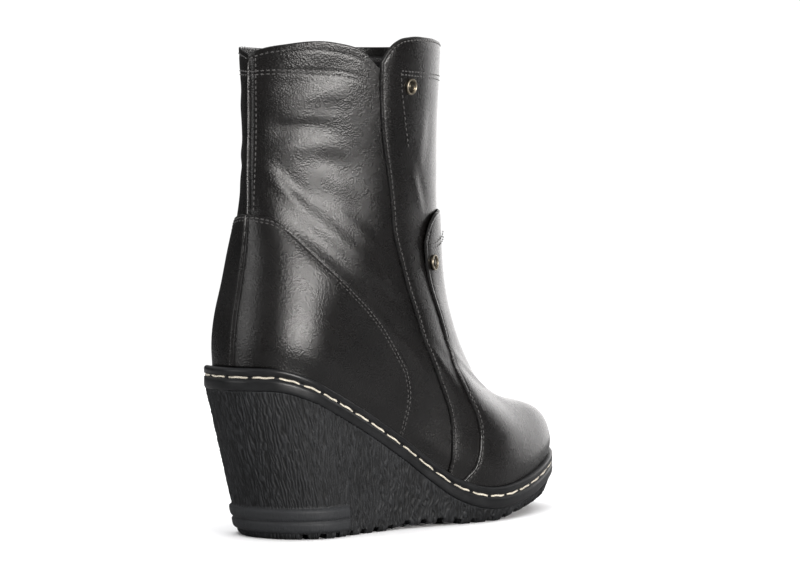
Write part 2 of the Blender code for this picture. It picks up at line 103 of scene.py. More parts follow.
# Stitches: pitch, length, thickness and rise over the leather or the groove
WELT_STITCH = (12.6 * MM, 11.3 * MM, 1.05 * MM, 0.55 * MM)
WELT_STITCH_RIPPLE = 0.16 * MM
LEATHER_THREAD = 0.55 * MM
LEATHER_THREAD_RISE = 0.24 * MM

# Fibres of the lining along the collar
FIBRES = 7000
FIBRE_DEPTH = 26 * MM
FIBRE_RADIUS = 0.07 * MM

SNAP_RADIUS = 4.0 * MM
SNAP_HEIGHT = 1.2 * MM

# Sole along its length: share of LENGTH, height of its top as a share of HEEL_HEIGHT,
# height of its underside as a share of TOE_SPRING, and inset of the lower edge in mm
SOLE = np.array([
    (0.00, 1.000, 0.00, 4.0),
    (0.05, 0.993, 0.00, 4.2),
    (0.10, 0.940, 0.00, 4.4),
    (0.16, 0.859, 0.00, 4.5),
    (0.23, 0.758, 0.00, 4.5),
    (0.31, 0.631, 0.00, 4.5),
    (0.36, 0.540, 0.00, 4.4),
    (0.39, 0.483, 0.11, 4.2),
    (0.46, 0.329, 0.13, 4.0),
    (0.52, 0.208, 0.10, 3.9),
    (0.55, 0.168, 0.00, 3.7),
    (0.58, 0.138, 0.00, 3.5),
    (0.65, 0.112, 0.00, 3.0),
    (0.72, 0.130, 0.20, 3.0),
    (0.80, 0.178, 0.44, 3.2),
    (0.90, 0.258, 0.71, 4.2),
    (1.00, 0.310, 1.00, 6.0),
])

# Centreline of the foot: share of LENGTH, and offset to the medial side as a share of BALL_WIDTH
CENTRE = np.array([
    (0.00, 0.000),
    (0.20, 0.000),
    (0.42, -0.020),
    (0.66, -0.010),
    (0.85, 0.032),
    (1.00, 0.074),
])

# Rings of the upper, from the feather edge to the collar. Ends are shares of LENGTH from the
# heel and rises are shares of SHAFT_RISE above the sole. Level 0 follows the sole and level 1
# is straight. Half widths are shares of half of BALL_WIDTH. Rounding is a share of the ring.
RING_COLUMNS = ("v", "back", "back_rise", "front", "front_rise", "level",
                "heel", "waist", "ball", "toe", "back_round", "front_round", "back_power")
RINGS = np.array([
    (0.00, 0.0250, 0.000, 0.9770, 0.000, 0.00, 0.585, 0.580, 0.820, 0.760, 0.13, 0.25, 2.0),
    (0.06, 0.0250, 0.056, 0.9820, 0.056, 0.00, 0.595, 0.585, 0.830, 0.770, 0.13, 0.25, 2.0),
    (0.14, 0.0270, 0.124, 0.9850, 0.106, 0.00, 0.650, 0.620, 0.860, 0.770, 0.14, 0.25, 2.0),
    (0.24, 0.0350, 0.205, 0.9580, 0.170, 0.25, 0.660, 0.660, 0.825, 0.690, 0.15, 0.28, 2.0),
    (0.34, 0.0475, 0.292, 0.8510, 0.242, 0.50, 0.650, 0.690, 0.760, 0.590, 0.18, 0.34, 2.0),
    (0.46, 0.0610, 0.404, 0.7310, 0.345, 0.80, 0.655, 0.710, 0.700, 0.620, 0.26, 0.40, 2.0),
    (0.58, 0.0680, 0.516, 0.6450, 0.516, 1.00, 0.670, 0.710, 0.700, 0.670, 0.38, 0.45, 1.8),
    (0.70, 0.0690, 0.627, 0.6030, 0.696, 1.00, 0.700, 0.720, 0.715, 0.700, 0.48, 0.50, 1.6),
    (0.80, 0.0700, 0.745, 0.5850, 0.907, 1.00, 0.740, 0.740, 0.740, 0.740, 0.50, 0.50, 1.5),
    (0.90, 0.0708, 0.876, 0.5770, 1.143, 1.00, 0.785, 0.785, 0.785, 0.785, 0.50, 0.50, 1.5),
    (1.00, 0.0708, 1.000, 0.5790, 1.398, 1.00, 0.850, 0.850, 0.850, 0.850, 0.50, 0.50, 1.5),
])
WIDTH_KNOTS = (0.0, 0.15, 0.42, 0.68, 0.86, 1.0)
FRONT_POWER = 2.2
BALL_SKEW = 0.03
LEVEL_STRAIGHTENS = 0.7

# Collar edge: w round from the centre back, and height over the last ring in mm
COLLAR = np.array([
    (0.00, -1.5), (0.16, 2.6), (0.33, 3.6), (0.40, 0.0), (0.46, -9.0), (0.55, -8.0),
    (0.75, -5.0), (1.00, -3.0), (1.30, 0.0), (1.60, 2.4), (1.84, 1.8), (2.00, -1.5),
])

# Counter: across from the centre back at 0 to its front edge at 1, and v of its top edge
COUNTER_TOP = np.array([
    (0.00, 0.579), (0.18, 0.581), (0.30, 0.580), (0.40, 0.563), (0.57, 0.509), (0.68, 0.480),
    (0.77, 0.457), (0.86, 0.430), (0.92, 0.395), (0.96, 0.352), (1.00, 0.300),
])
# Front edge of the counter: v and w
COUNTER_EDGE = np.array([(0.06, 0.430), (0.15, 0.434), (0.24, 0.442), (0.32, 0.446), (0.60, 0.446)])

# Front panel: v and w of its lateral edge, the medial edge being the same on the other side
PANEL_EDGE = np.array([
    (0.06, 0.508), (0.20, 0.511), (0.34, 0.520), (0.43, 0.531), (0.50, 0.541), (0.57, 0.537),
    (0.64, 0.528), (0.70, 0.512), (0.76, 0.505), (0.81, 0.492), (0.86, 0.475), (0.92, 0.462),
    (0.98, 0.454), (1.06, 0.450),
])
# Front panel: across from its lateral edge at 0 to its medial edge at 1, and v of its lower edge
PANEL_FOOT = np.array([
    (0.00, 0.060), (0.20, 0.060), (0.23, 0.16), (0.27, 0.34), (0.34, 0.42), (0.66, 0.42),
    (0.73, 0.34), (0.77, 0.16), (0.80, 0.060), (1.00, 0.060),
])
# Front panel: across in the same way, and height of its top edge over the last ring in mm
PANEL_TOP = np.array([
    (0.00, -6.0), (0.012, -2.0), (0.030, 2.2), (0.055, 5.0), (0.09, 6.2), (0.18, 6.0),
    (0.36, 3.4), (0.50, 2.6), (0.75, 2.6), (0.92, 2.4), (0.97, 1.2), (1.00, -2.0),
])

# Vamp: v and w of its lateral edge, the medial edge being the same on the other side
VAMP_EDGE = np.array([
    (0.06, 0.530), (0.14, 0.547), (0.20, 0.559), (0.27, 0.571), (0.33, 0.582), (0.40, 0.600),
    (0.48, 0.640), (0.55, 0.660), (0.62, 0.648), (0.68, 0.638), (0.84, 0.632),
])
# Vamp: across from its lateral edge at 0 to its medial edge at 1, and v of its top edge
VAMP_TOP = np.array([
    (0.00, 0.715), (0.03, 0.742), (0.08, 0.767), (0.16, 0.784), (0.30, 0.797), (0.50, 0.804),
    (0.70, 0.797), (0.84, 0.784), (0.92, 0.767), (0.97, 0.742), (1.00, 0.715),
])
FOOT_V = 0.060
VAMP_FLAP_LIFT = 1.3 * MM
TUCK_V = 0.42
TUCK_FADE = 0.08
TUCK_W = 0.26

# Side of the sole from its top down: height over the underside in mm, and the most that this
# may be as a share of the thickness there
SOLE_SIDE = np.array([
    (75.0, 1.00), (50.0, 0.72), (30.0, 0.50), (15.2, 0.36), (14.2, 0.33), (9.4, 0.27),
    (8.8, 0.25), (8.2, 0.23), (4.0, 0.17), (3.2, 0.14), (1.2, 0.10), (0.0, 0.00),
])
# Ribs round the heel: height of the middle and half height, in mm
HEEL_RIBS = ((11.9, 2.95), (6.0, 2.7))

# Snaps: v, w and height of the face that each sits on
SNAPS = {
    "snap_upper": (0.946, 0.566, OVER_UPPER + OVERLAY),
    "snap_lower": (0.688, 0.676, OVER_PANEL + OVERLAY),
}

# Soft folds of the leather: v and w of both ends, bow in v at the middle, half width in mm,
# height of the ridge in mm, and height in mm of a step that tips the leather to the fold's left
FOLDS = np.array([
    (0.885, 0.17, 0.946, 0.37, 0.004, 6.0, 0.0, 1.30),
    (0.856, 0.20, 0.884, 0.36, 0.003, 4.6, 0.0, 0.95),
    (0.798, 0.15, 0.840, 0.36, 0.006, 4.8, 0.0, 1.20),
    (0.735, 0.14, 0.660, 0.255, 0.004, 5.0, 0.0, 1.00),
    (0.773, 0.29, 0.758, 0.39, 0.004, 5.0, 0.0, 0.70),
    (0.706, 0.35, 0.650, 0.45, 0.004, 5.5, 0.0, 0.60),
    (0.830, 0.12, 0.862, 0.34, 0.000, 1.6, -0.22, 0.0),
    (0.630, 0.21, 0.520, 0.40, 0.000, 9.0, 0.0, -1.3),
    (0.825, 0.600, 0.775, 0.650, 0.000, 2.8, 0.10, 0.50),
    (0.918, 0.670, 0.830, 0.632, 0.004, 4.0, 0.0, 0.45),
    (0.905, 0.860, 0.850, 1.120, 0.006, 5.0, 0.35, 0.30),
    (0.447, 0.397, 0.369, 0.441, 0.000, 3.0, 0.35, 0.20),
    (0.560, 0.440, 0.535, 0.505, 0.000, 3.2, 0.40, 0.25),
    (0.391, 0.472, 0.307, 0.491, 0.000, 3.0, 0.40, 0.20),
    (0.439, 0.553, 0.307, 0.566, 0.000, 3.2, 0.35, 0.25),
    (0.480, 0.620, 0.400, 0.800, 0.010, 5.0, 0.45, 0.30),
    (0.420, 0.640, 0.340, 0.900, 0.012, 5.0, -0.45, 0.0),
    (0.430, 1.380, 0.340, 1.120, 0.012, 5.0, 0.45, 0.30),
    (0.214, 0.560, 0.205, 0.610, 0.000, 4.0, -0.40, 0.0),
    (0.880, 1.620, 0.900, 1.860, 0.004, 5.0, 0.0, 0.70),
    (0.800, 1.700, 0.770, 1.900, 0.004, 4.5, 0.3, 0.60),
    (0.690, 1.760, 0.740, 1.900, 0.002, 4.5, 0.0, 0.60),
    (0.450, 1.560, 0.370, 1.520, 0.000, 3.5, 0.40, 0.20),
])
CHART_WIDTH_MM = 125.0
CHART_HEIGHT_MM = 175.0


def smooth(knots, values, at):
    """Cubic through the values at the knots, going on straight past both ends."""
    knots, values = np.asarray(knots, float), np.asarray(values, float)
    flat = values.ndim == 1
    values = values[:, None] if flat else values
    step = np.diff(knots)[:, None]
    slope = np.diff(values, axis=0) / step
    ends = np.empty_like(values)
    ends[0], ends[-1] = slope[0], slope[-1]
    ends[1:-1] = (slope[:-1] * step[1:] + slope[1:] * step[:-1]) / (step[1:] + step[:-1])
    at = np.asarray(at, float)
    inside = np.clip(at, knots[0], knots[-1])
    cell = np.clip(np.searchsorted(knots, inside, side="right") - 1, 0, len(knots) - 2)
    width = step[cell]
    t = ((inside - knots[cell])[..., None]) / width
    found = ((2 * t**3 - 3 * t**2 + 1) * values[cell] + (t**3 - 2 * t**2 + t) * width * ends[cell]
             + (3 * t**2 - 2 * t**3) * values[cell + 1] + (t**3 - t**2) * width * ends[cell + 1])
    beyond = (at - inside)[..., None]
    found = found + beyond * np.where(beyond < 0, ends[0], ends[-1])
    return found[..., 0] if flat else found


def along(table, at, column=1):
    """Value of one column of a table at positions in its first column."""
    return smooth(table[:, 0], table[:, column], at)


def step_up(low, high, at):
    """0 below low and 1 above high, with a smooth rise between."""
    t = np.clip((at - low) / (high - low), 0, 1)
    return t * t * (3 - 2 * t)


def hump(at, width):
    """1 in the middle, falling off on both sides as a bell curve."""
    return np.exp(-((at / width) ** 2))


def sole_top(s):
    """Height of the sole's top at distance s from the heel's back end."""
    return along(SOLE, s / LENGTH, 1) * HEEL_HEIGHT


def sole_under(s):
    """Height of the sole's underside, never under the floor."""
    return np.maximum(along(SOLE, s / LENGTH, 2), 0) * TOE_SPRING


def ring_point(v, w):
    """Point of the upper's outer face, before it is centred over the origin.

    A ring is a length of the foot from back to front, with a half width that follows the foot
    and closes at both ends like a rounded oval. Its height follows the sole or is straight.
    """
    v, w = np.broadcast_arrays(np.asarray(v, float), np.asarray(w, float))
    row = dict(zip(RING_COLUMNS[1:], np.moveaxis(smooth(RINGS[:, 0], RINGS[:, 1:], v), -1, 0)))
    t = (1 - np.cos(np.pi * w)) / 2
    side = -np.sign(np.sin(np.pi * w))
    level = np.clip(row["level"], 0, 1)
    skewed = np.clip(t - side * BALL_SKEW * np.sin(np.pi * t) * (1 - level), 0, 1)
    widths = np.stack([row["heel"], row["heel"], row["waist"], row["ball"], row["toe"], row["toe"]], -1)
    half = (smooth(WIDTH_KNOTS, np.eye(len(WIDTH_KNOTS)), skewed) * widths).sum(-1) * BALL_WIDTH / 2
    at_back = np.clip(1 - t / row["back_round"], 0, 1)
    at_front = np.clip(1 - (1 - t) / row["front_round"], 0, 1)
    half = half * (1 - at_back ** row["back_power"]) ** (1 / row["back_power"])
    half = half * (1 - at_front**FRONT_POWER) ** (1 / FRONT_POWER)
    back, front = row["back"] * LENGTH, row["front"] * LENGTH
    s = back + (front - back) * t
    back_rise, front_rise = row["back_rise"] * SHAFT_RISE, row["front_rise"] * SHAFT_RISE
    followed = sole_top(s) + back_rise + (front_rise - back_rise) * t
    back_z, front_z = sole_top(back) + back_rise, sole_top(front) + front_rise
    straight = back_z + (front_z - back_z) * t
    x = along(CENTRE, s / LENGTH) * BALL_WIDTH * (1 - LEVEL_STRAIGHTENS * level) + side * half
    return np.stack([x, -s, followed + (straight - followed) * level], -1)


def directions(v, w):
    """Ways that the outer face runs for a step round it and for a step up it."""
    round_way = (ring_point(v, w + NUDGE) - ring_point(v, w - NUDGE)) / (2 * NUDGE)
    up_way = (ring_point(v + NUDGE, w) - ring_point(v - NUDGE, w)) / (2 * NUDGE)
    return round_way, up_way


def face_normal(v, w):
    """Outward unit normal of the upper's outer face."""
    v, w = np.broadcast_arrays(np.asarray(v, float), np.asarray(w, float))
    normal = np.cross(*directions(v, w))
    return normal / np.linalg.norm(normal, axis=-1, keepdims=True)


def skin(v, w, out=0.0):
    """Point at a distance out from the upper's outer face, found along the face's normal."""
    return ring_point(v, w) + face_normal(v, w) * np.asarray(out, float)[..., None]


def plan_grown(points, width):
    """Closed outline moved outwards in plan, its height kept."""
    step = np.roll(points, -1, axis=0) - np.roll(points, 1, axis=0)
    normal = np.stack([step[:, 1], -step[:, 0]], -1)
    normal /= np.linalg.norm(normal, axis=1, keepdims=True)
    centre = points[:, :2].mean(axis=0)
    if ((points[:, :2] - centre) * normal).sum() < 0:
        normal = -normal
    grown = points.copy()
    grown[:, :2] += normal * np.broadcast_to(width, len(points))[:, None]
    return grown, normal


def stations(count):
    return np.arange(count) * 2 / count


def middle_of_plan(count=56):
    """Middle of the welt's outline, which stands over the origin."""
    outline, _ = plan_grown(skin(0.0, stations(count)), GAP + WELT_WIDTH)
    return (outline[:, :2].min(axis=0) + outline[:, :2].max(axis=0)) / 2


MIDDLE = middle_of_plan()


def collar_v(w, height):
    """v at a height over the last ring."""
    climb = (ring_point(1.0, w) - ring_point(1.0 - NUDGE, w))[..., 2] / NUDGE
    return 1 + height / climb


def noise(points, size, seed=0):
    """Value noise from 0 to 1: random values on a lattice of this cell size, blended smoothly."""
    cells = np.asarray(points, float) / size
    low = np.floor(cells).astype(np.int64)
    part = cells - low
    part = part ** 3 * (part * (part * 6 - 15) + 10)
    total = 0.0
    for corner in np.ndindex(*(2,) * cells.shape[-1]):
        mixed = np.full(cells.shape[:-1], seed * 2654435761 + 97, np.int64)
        share = 1.0
        for axis, on in enumerate(corner):
            mixed = (mixed ^ (low[..., axis] + on) * (73856093, 19349663, 83492791)[axis]) * 1103515245
            mixed = (mixed ^ (mixed >> 15)) & 0x7FFFFFFF
            share = share * (part[..., axis] if on else 1 - part[..., axis])
        total = total + share * (mixed & 0xFFFF) / 0xFFFF
    return total


BACK_ROWS = np.linspace(0, 1.1, 56)
BACK_SPEED = np.linalg.norm(directions(BACK_ROWS, 0.02 + 0 * BACK_ROWS)[0], axis=-1)


def from_back_seam(v, w):
    """Distance in mm round from the centre back, above zero on the lateral side."""
    turned = (np.asarray(w, float) + 1) % 2 - 1
    return turned * np.interp(v, BACK_ROWS, BACK_SPEED) / MM


def relief(v, w):
    """Height of the folds and of the back seam over the plain form.

    Each fold is a bent line on a chart of the leather, and its height falls off across it as a
    bell curve and towards both ends. A slow noise adds the leather's own unevenness.
    """
    v, w = np.broadcast_arrays(np.asarray(v, float), np.asarray(w, float))
    form = bpy.context.scene.boot_sizes
    chart = np.stack([w * CHART_WIDTH_MM, v * CHART_HEIGHT_MM], -1)
    height = np.zeros(v.shape)
    for v0, w0, v1, w1, bow, width, tall, tip in FOLDS:
        start = np.array([w0 * CHART_WIDTH_MM, v0 * CHART_HEIGHT_MM])
        run = np.array([w1 * CHART_WIDTH_MM, v1 * CHART_HEIGHT_MM]) - start
        length = np.linalg.norm(run)
        run /= length
        t = ((chart - start) @ run) / length
        off = (chart - start) @ np.array([-run[1], run[0]])
        off = off - bow * CHART_HEIGHT_MM * 4 * t * (1 - t)
        across = (tall - tip * off / width) * hump(off, width)
        height += across * step_up(-0.25, 0.35, t) * step_up(1.25, 0.65, t)
    height *= form.fold_depth
    d = from_back_seam(v, w)
    lap = 0.55 * step_up(-7.0, -0.4, d) * step_up(0.25, -0.25, d)
    channel = -0.45 * hump(d - 0.95, 0.6)
    second = 0.25 * hump(d - 2.9, 0.6) * step_up(0.56, 0.62, v)
    seam = (lap + channel + second) * step_up(1.0, 0.93, v) * form.seam_depth
    place = ring_point(v, w)
    uneven = (noise(place, 0.018, 3) - 0.5) * 0.32
    calm = step_up(0.06, 0.16, v)
    return (height * calm + seam + uneven * calm) * MM


def surface(v, w, out=0.0):
    """Point of a leather layer: the form, moved out by the layer's height and the relief."""
    points = skin(v, w, out + relief(v, w))
    points[..., :2] -= MIDDLE
    return points


def seat(row):
    """Brings a row of points down to just over the sole's top."""
    row[:, 2] = sole_top(-(row[:, 1] + MIDDLE[1])) + GAP


def flap_lift(v, across=0.0):
    """How far the vamp's flap stands off the panel, most at its top and along its lateral edge."""
    return VAMP_FLAP_LIFT * step_up(0.62, 0.76, v) * step_up(0.30, 0.10, across)


def inset(v, w, distance):
    """Line in v and w at a distance to the left of a line, both on the outer face."""
    round_way, up_way = directions(v, w)
    normal = face_normal(v, w)
    place = ring_point(v, w)
    run = np.gradient(place, axis=0)
    run /= np.linalg.norm(run, axis=-1, keepdims=True)
    inward = np.cross(normal, run) * np.broadcast_to(distance, v.shape)[:, None]
    e, f, g = (up_way**2).sum(-1), (up_way * round_way).sum(-1), (round_way**2).sum(-1)
    a, b = (inward * up_way).sum(-1), (inward * round_way).sum(-1)
    spread = e * g - f * f
    return v + (a * g - b * f) / spread, w + (b * e - a * f) / spread


def graded(low, high, coarse, fine, zones):
    """Stations from low to high, coarse apart in general and fine apart near each zone.

    A zone is its middle and its half width. The stations are equal steps of a density summed
    along the line.
    """
    line = np.linspace(low, high, 6000)
    density = np.full(line.shape, 1 / coarse)
    for middle, half in zones:
        density += (1 / fine - 1 / coarse) * hump(line - middle, half)
    walked = np.concatenate([[0], np.cumsum((density[1:] + density[:-1]) / 2 * np.diff(line))])
    count = int(np.ceil(walked[-1]))
    return np.interp(np.linspace(0, walked[-1], count + 1), walked, line)


def nearest(points, line):
    """Distance from each point to a dense line of points."""
    flat = points.reshape(-1, 3)
    best = np.empty(len(flat))
    for start in range(0, len(flat), 4000):
        part = flat[start:start + 4000]
        square = ((part[:, None, :] - line[None]) ** 2).sum(-1)
        best[start:start + 4000] = np.sqrt(square.min(axis=1))
    return best.reshape(points.shape[:-1])


def quads(rows):
    """Faces between the rows of a grid of point numbers."""
    return np.stack([rows[:-1, :-1], rows[:-1, 1:], rows[1:, 1:], rows[1:, :-1]], -1).reshape(-1, 4)


def wrapped(rows):
    return np.concatenate([rows, rows[:, :1]], axis=1)


def add_piece(name, points, faces, material, replaced=None, painted_light_mask=None):
    """One closed mesh with its faces outwards, riding on the boot's body."""
    points, faces = np.asarray(points, float), np.asarray(faces)
    first, rest = points[faces[:, 0]], faces[:, 1:]
    volume = sum(np.einsum("ij,ij->i", first, np.cross(points[rest[:, k]], points[rest[:, k + 1]])).sum()
                 for k in range(rest.shape[1] - 1))
    if volume < 0:
        faces = faces[:, ::-1]
    sides = faces.shape[1]
    mesh = bpy.data.meshes.new(name)
    mesh.vertices.add(len(points))
    mesh.vertices.foreach_set("co", points.astype(np.float32).ravel())
    mesh.loops.add(faces.size)
    mesh.loops.foreach_set("vertex_index", faces.astype(np.int32).ravel())
    mesh.polygons.add(len(faces))
    mesh.polygons.foreach_set("loop_start", np.arange(len(faces), dtype=np.int32) * sides)
    mesh.polygons.foreach_set("use_smooth", np.full(len(faces), True))
    # the wedge's mask for painted shade in the bark's valleys and a painted highlight on its smooth parts
    if painted_light_mask is not None:
        share = mesh.attributes.new("bark", "FLOAT", "POINT")
        share.data.foreach_set("value", painted_light_mask.astype(np.float32))
    mesh.update(calc_edges=True)
    mesh.validate()
    mesh.materials.append(material)
    piece = bpy.data.objects.new(name, mesh)
    bpy.context.scene.collection.objects.link(piece)
    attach(piece, "root")
    if replaced:
        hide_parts(replaced)


def add_band(name, rows, material, slot):
    """Piece from a grid whose rows go round the boot and whose first and last rows meet too."""
    numbers = np.arange(rows.shape[0] * rows.shape[1]).reshape(rows.shape[:2])
    faces = quads(wrapped(np.concatenate([numbers, numbers[:1]])))
    add_piece(name, rows.reshape(-1, 3), faces, material, slot)


def sheet_faces(shape):
    """Faces of two grids, one over the other, closed round their four edges."""
    numbers = np.arange(shape[0] * shape[1]).reshape(shape)
    edge = np.concatenate([numbers[0], numbers[1:, -1], numbers[-1, -2::-1], numbers[-2:0:-1, 0]])
    rim = wrapped(np.stack([edge, edge + numbers.size]))
    return np.concatenate([quads(numbers), quads(numbers + numbers.size)[:, ::-1], quads(rim)[:, ::-1]])


def lay_leather(name, v, w, under, over, material, slot, open_sides, lift=0.0):
    """Cut piece of leather laid on the form, with thinned and rolled edges.

    Its height over the form rises from the cut edge as a quarter round, then slowly over the
    skived margin, and dips where the edge's stitch row pulls it down. open_sides tells which of
    the sides first row, last row, first column and last column are cut edges that show.
    """
    form = bpy.context.scene.boot_sizes
    base = ring_point(v, w)
    sides = (base[0], base[-1], base[:, 0], base[:, -1])
    line = np.concatenate([side for side, shown in zip(sides, open_sides) if shown])
    d = nearest(base, line) / MM
    roll = np.clip(d / form.edge_round, 0, 1)
    roll = np.sqrt(np.clip(1 - (1 - roll) ** 2, 0, 1))
    skive = 0.80 + 0.20 * step_up(0, 6, d)
    pulled = form.stitch_pull * MM * hump(d - form.stitch_inset, 0.55)
    height = under + (over - under) * skive * roll - pulled
    outer = surface(v, w, np.maximum(height, under + 0.02 * MM) + lift)
    inner = surface(v, w, under + lift * 0.9)
    points = np.concatenate([outer.reshape(-1, 3), inner.reshape(-1, 3)])
    add_piece(name, points, sheet_faces(v.shape), material, slot)


def between_edges(edge, v, across):
    """w between a lateral edge and the same edge on the medial side."""
    lateral = along(edge, v)
    return lateral + (2 - 2 * lateral) * across


def thread_along(lines, pitch, length, width, rise, sides=6, rings=7, ripple=0.0):
    """Points and faces of short stitches along lines on the boot.

    A line is points and normals. Each stitch is a tube that bows out of the leather between two
    needle holes, thinner at its ends, and a ripple turns it a little from side to side.
    """
    turn = np.arange(sides) * 2 * np.pi / sides
    t = np.linspace(0, 1, rings)
    bow = np.sin(np.pi * t) ** 0.5
    thick = width / 2 * np.sqrt(np.clip(1 - (2 * t - 1) ** 12, 0.05, 1))
    all_points, all_faces, used = [], [], 0
    pattern = quads(wrapped(np.arange(rings * sides).reshape(rings, sides)))
    caps = np.array([[0, k + 1, k + 2, k + 2] for k in range(sides - 2)])
    for points, normals in lines:
        walked = np.concatenate([[0], np.cumsum(np.linalg.norm(np.diff(points, axis=0), axis=1))])
        count = max(int(walked[-1] / pitch), 1)
        starts = (np.arange(count) + 0.5) * walked[-1] / count - length / 2
        at = starts[:, None] + t * length
        centre = np.stack([np.interp(at, walked, points[:, k]) for k in range(3)], -1)
        normal = np.stack([np.interp(at, walked, normals[:, k]) for k in range(3)], -1)
        normal /= np.linalg.norm(normal, axis=-1, keepdims=True)
        run = np.gradient(centre, axis=1)
        run /= np.linalg.norm(run, axis=-1, keepdims=True)
        side = np.cross(run, normal)
        wave = ripple * np.sin(2 * np.pi * (1.5 * t + 0.37 * np.arange(count)[:, None]))
        centre = centre + normal * (rise * bow - width * 0.35)[None, :, None] + side * wave[..., None]
        ring = (np.cos(turn)[:, None] * side[:, :, None, :]
                + np.sin(turn)[:, None] * normal[:, :, None, :])
        tube = centre[:, :, None, :] + ring * thick[None, :, None, None]
        all_points.append(tube.reshape(-1, 3))
        size = rings * sides
        both = np.concatenate([pattern, caps[:, ::-1], caps + (rings - 1) * sides])
        all_faces.append((np.arange(count)[:, None, None] * size + both).reshape(-1, 4) + used)
        used += count * size
    return np.concatenate(all_points), np.concatenate(all_faces)


def stitch_line(v, w, out):
    """Points and normals of a stitch row along v and w at a height over the form."""
    return surface(v, w, out), face_normal(v, w)


# Materials


class Nodes:
    """A material's nodes, with short calls to add one and to link it."""

    def __init__(self, name):
        self.material = bpy.data.materials.new(name)
        self.material.use_nodes = True
        self.tree = self.material.node_tree
        self.shader = self.tree.nodes["Principled BSDF"]
        self.place = self.add("ShaderNodeTexCoord").outputs["Object"]

    def add(self, kind, inputs=(), **settings):
        node = self.tree.nodes.new(kind)
        for key, value in settings.items():
            setattr(node, key, value)
        for key, value in dict(inputs).items():
            if isinstance(value, bpy.types.NodeSocket):
                self.tree.links.new(value, node.inputs[key])
            else:
                node.inputs[key].default_value = value
        return node

    def mapped(self, scale):
        return self.add("ShaderNodeMapping", {"Vector": self.place, "Scale": scale}).outputs["Vector"]

    def cloud(self, scale, detail=3.0, rough=0.5, vector=None):
        return self.add("ShaderNodeTexNoise", {"Vector": vector or self.place, "Scale": scale,
                                               "Detail": detail, "Roughness": rough}).outputs["Fac"]

    def cells(self, scale):
        node = self.add("ShaderNodeTexVoronoi", {"Vector": self.place, "Scale": scale})
        return node.outputs["Distance"]

    def spread(self, value, low, high, to_low, to_high):
        return self.add("ShaderNodeMapRange", {"Value": value, "From Min": low, "From Max": high,
                                               "To Min": to_low, "To Max": to_high}).outputs["Result"]

    def blend(self, share, first, second):
        node = self.add("ShaderNodeMix", {"Factor": share}, data_type="RGBA")
        for socket, value in (("A_Color", first), ("B_Color", second)):
            end = next(s for s in node.inputs if s.identifier == socket)
            if isinstance(value, bpy.types.NodeSocket):
                self.tree.links.new(value, end)
            else:
                end.default_value = (*value, 1.0)
        return next(s for s in node.outputs if s.identifier == "Result_Color")

    def bump(self, height, strength, distance, under=None):
        inputs = {"Height": height, "Strength": strength, "Distance": distance}
        if under is not None:
            inputs["Normal"] = under
        return self.add("ShaderNodeBump", inputs).outputs["Normal"]

    def finish(self, **sockets):
        for key, value in sockets.items():
            end = self.shader.inputs[key.replace("_", " ")]
            if isinstance(value, bpy.types.NodeSocket):
                self.tree.links.new(value, end)
            else:
                end.default_value = (*value, 1.0) if isinstance(value, tuple) else value
        return self.material


def shade(colour, factor):
    return tuple(min(1.0, part * factor) for part in colour)


def black_leather(name):
    """Smooth corrected grain: fine pebbles over slow unevenness, under a satin finish."""
    look = bpy.context.scene.boot_finish
    colour = tuple(look.leather_colour)
    n = Nodes(name)
    pebble = n.cells(1 / (look.grain_mm * MM))
    fine = n.cloud(2600.0, 4.0, 0.6)
    slow = n.cloud(120.0, 4.0, 0.55)
    cast = n.cloud(38.0, 3.0)
    tone = n.blend(n.spread(cast, 0.35, 0.7, 0.0, 1.0), shade(colour, 0.8), shade(colour, 1.5))
    normal = n.bump(slow, 0.20, 0.00015)
    normal = n.bump(pebble, look.grain_depth, 0.00022, normal)
    normal = n.bump(fine, look.grain_depth * 0.8, 0.00012, normal)
    rough = n.spread(slow, 0.3, 0.75, look.leather_roughness - 0.01, look.leather_roughness + 0.02)
    return n.finish(Base_Color=tone, Roughness=rough, Normal=normal, Coat_Weight=look.leather_coat,
                    Coat_Roughness=0.22, Coat_IOR=1.45, Specular_IOR_Level=0.5)


def dark_thread(name):
    n = Nodes(name)
    twist = n.cloud(1.0, 2.0, 0.5, n.mapped((3000.0, 3000.0, 3000.0)))
    tone = n.blend(n.spread(twist, 0.3, 0.7, 0.0, 1.0), (0.014, 0.013, 0.013), (0.065, 0.061, 0.059))
    return n.finish(Base_Color=tone, Roughness=0.5, Normal=n.bump(twist, 0.5, 0.00006), Sheen_Weight=0.3)


def cream_thread(name):
    look = bpy.context.scene.boot_finish
    colour = tuple(look.thread_colour)
    n = Nodes(name)
    twist = n.cells(1100.0)
    dirt = n.cloud(240.0, 3.0)
    tone = n.blend(n.spread(dirt, 0.35, 0.75, 0.0, 1.0), colour, shade(colour, 0.55))
    return n.finish(Base_Color=tone, Roughness=0.75, Normal=n.bump(twist, 0.7, 0.0002), Sheen_Weight=0.2)


def dark_lining(name):
    n = Nodes(name)
    pile = n.cloud(900.0, 5.0, 0.7)
    patch = n.cloud(110.0, 3.0)
    tone = n.blend(n.spread(patch, 0.3, 0.7, 0.0, 1.0), (0.010, 0.009, 0.010), (0.024, 0.022, 0.022))
    normal = n.bump(pile, 1.0, 0.0006)
    return n.finish(Base_Color=tone, Roughness=0.95, Normal=normal, Sheen_Weight=0.5, Sheen_Roughness=0.4,
                    Specular_IOR_Level=0.2)


def footbed_cloth(name):
    n = Nodes(name)
    weave = n.cells(650.0)
    pile = n.cloud(700.0, 4.0, 0.7)
    tone = n.blend(n.spread(pile, 0.3, 0.7, 0.0, 1.0), (0.018, 0.017, 0.017), (0.042, 0.039, 0.038))
    normal = n.bump(weave, 0.7, 0.0003, n.bump(pile, 0.8, 0.0004))
    return n.finish(Base_Color=tone, Roughness=0.9, Normal=normal, Sheen_Weight=0.4,
                    Specular_IOR_Level=0.2)


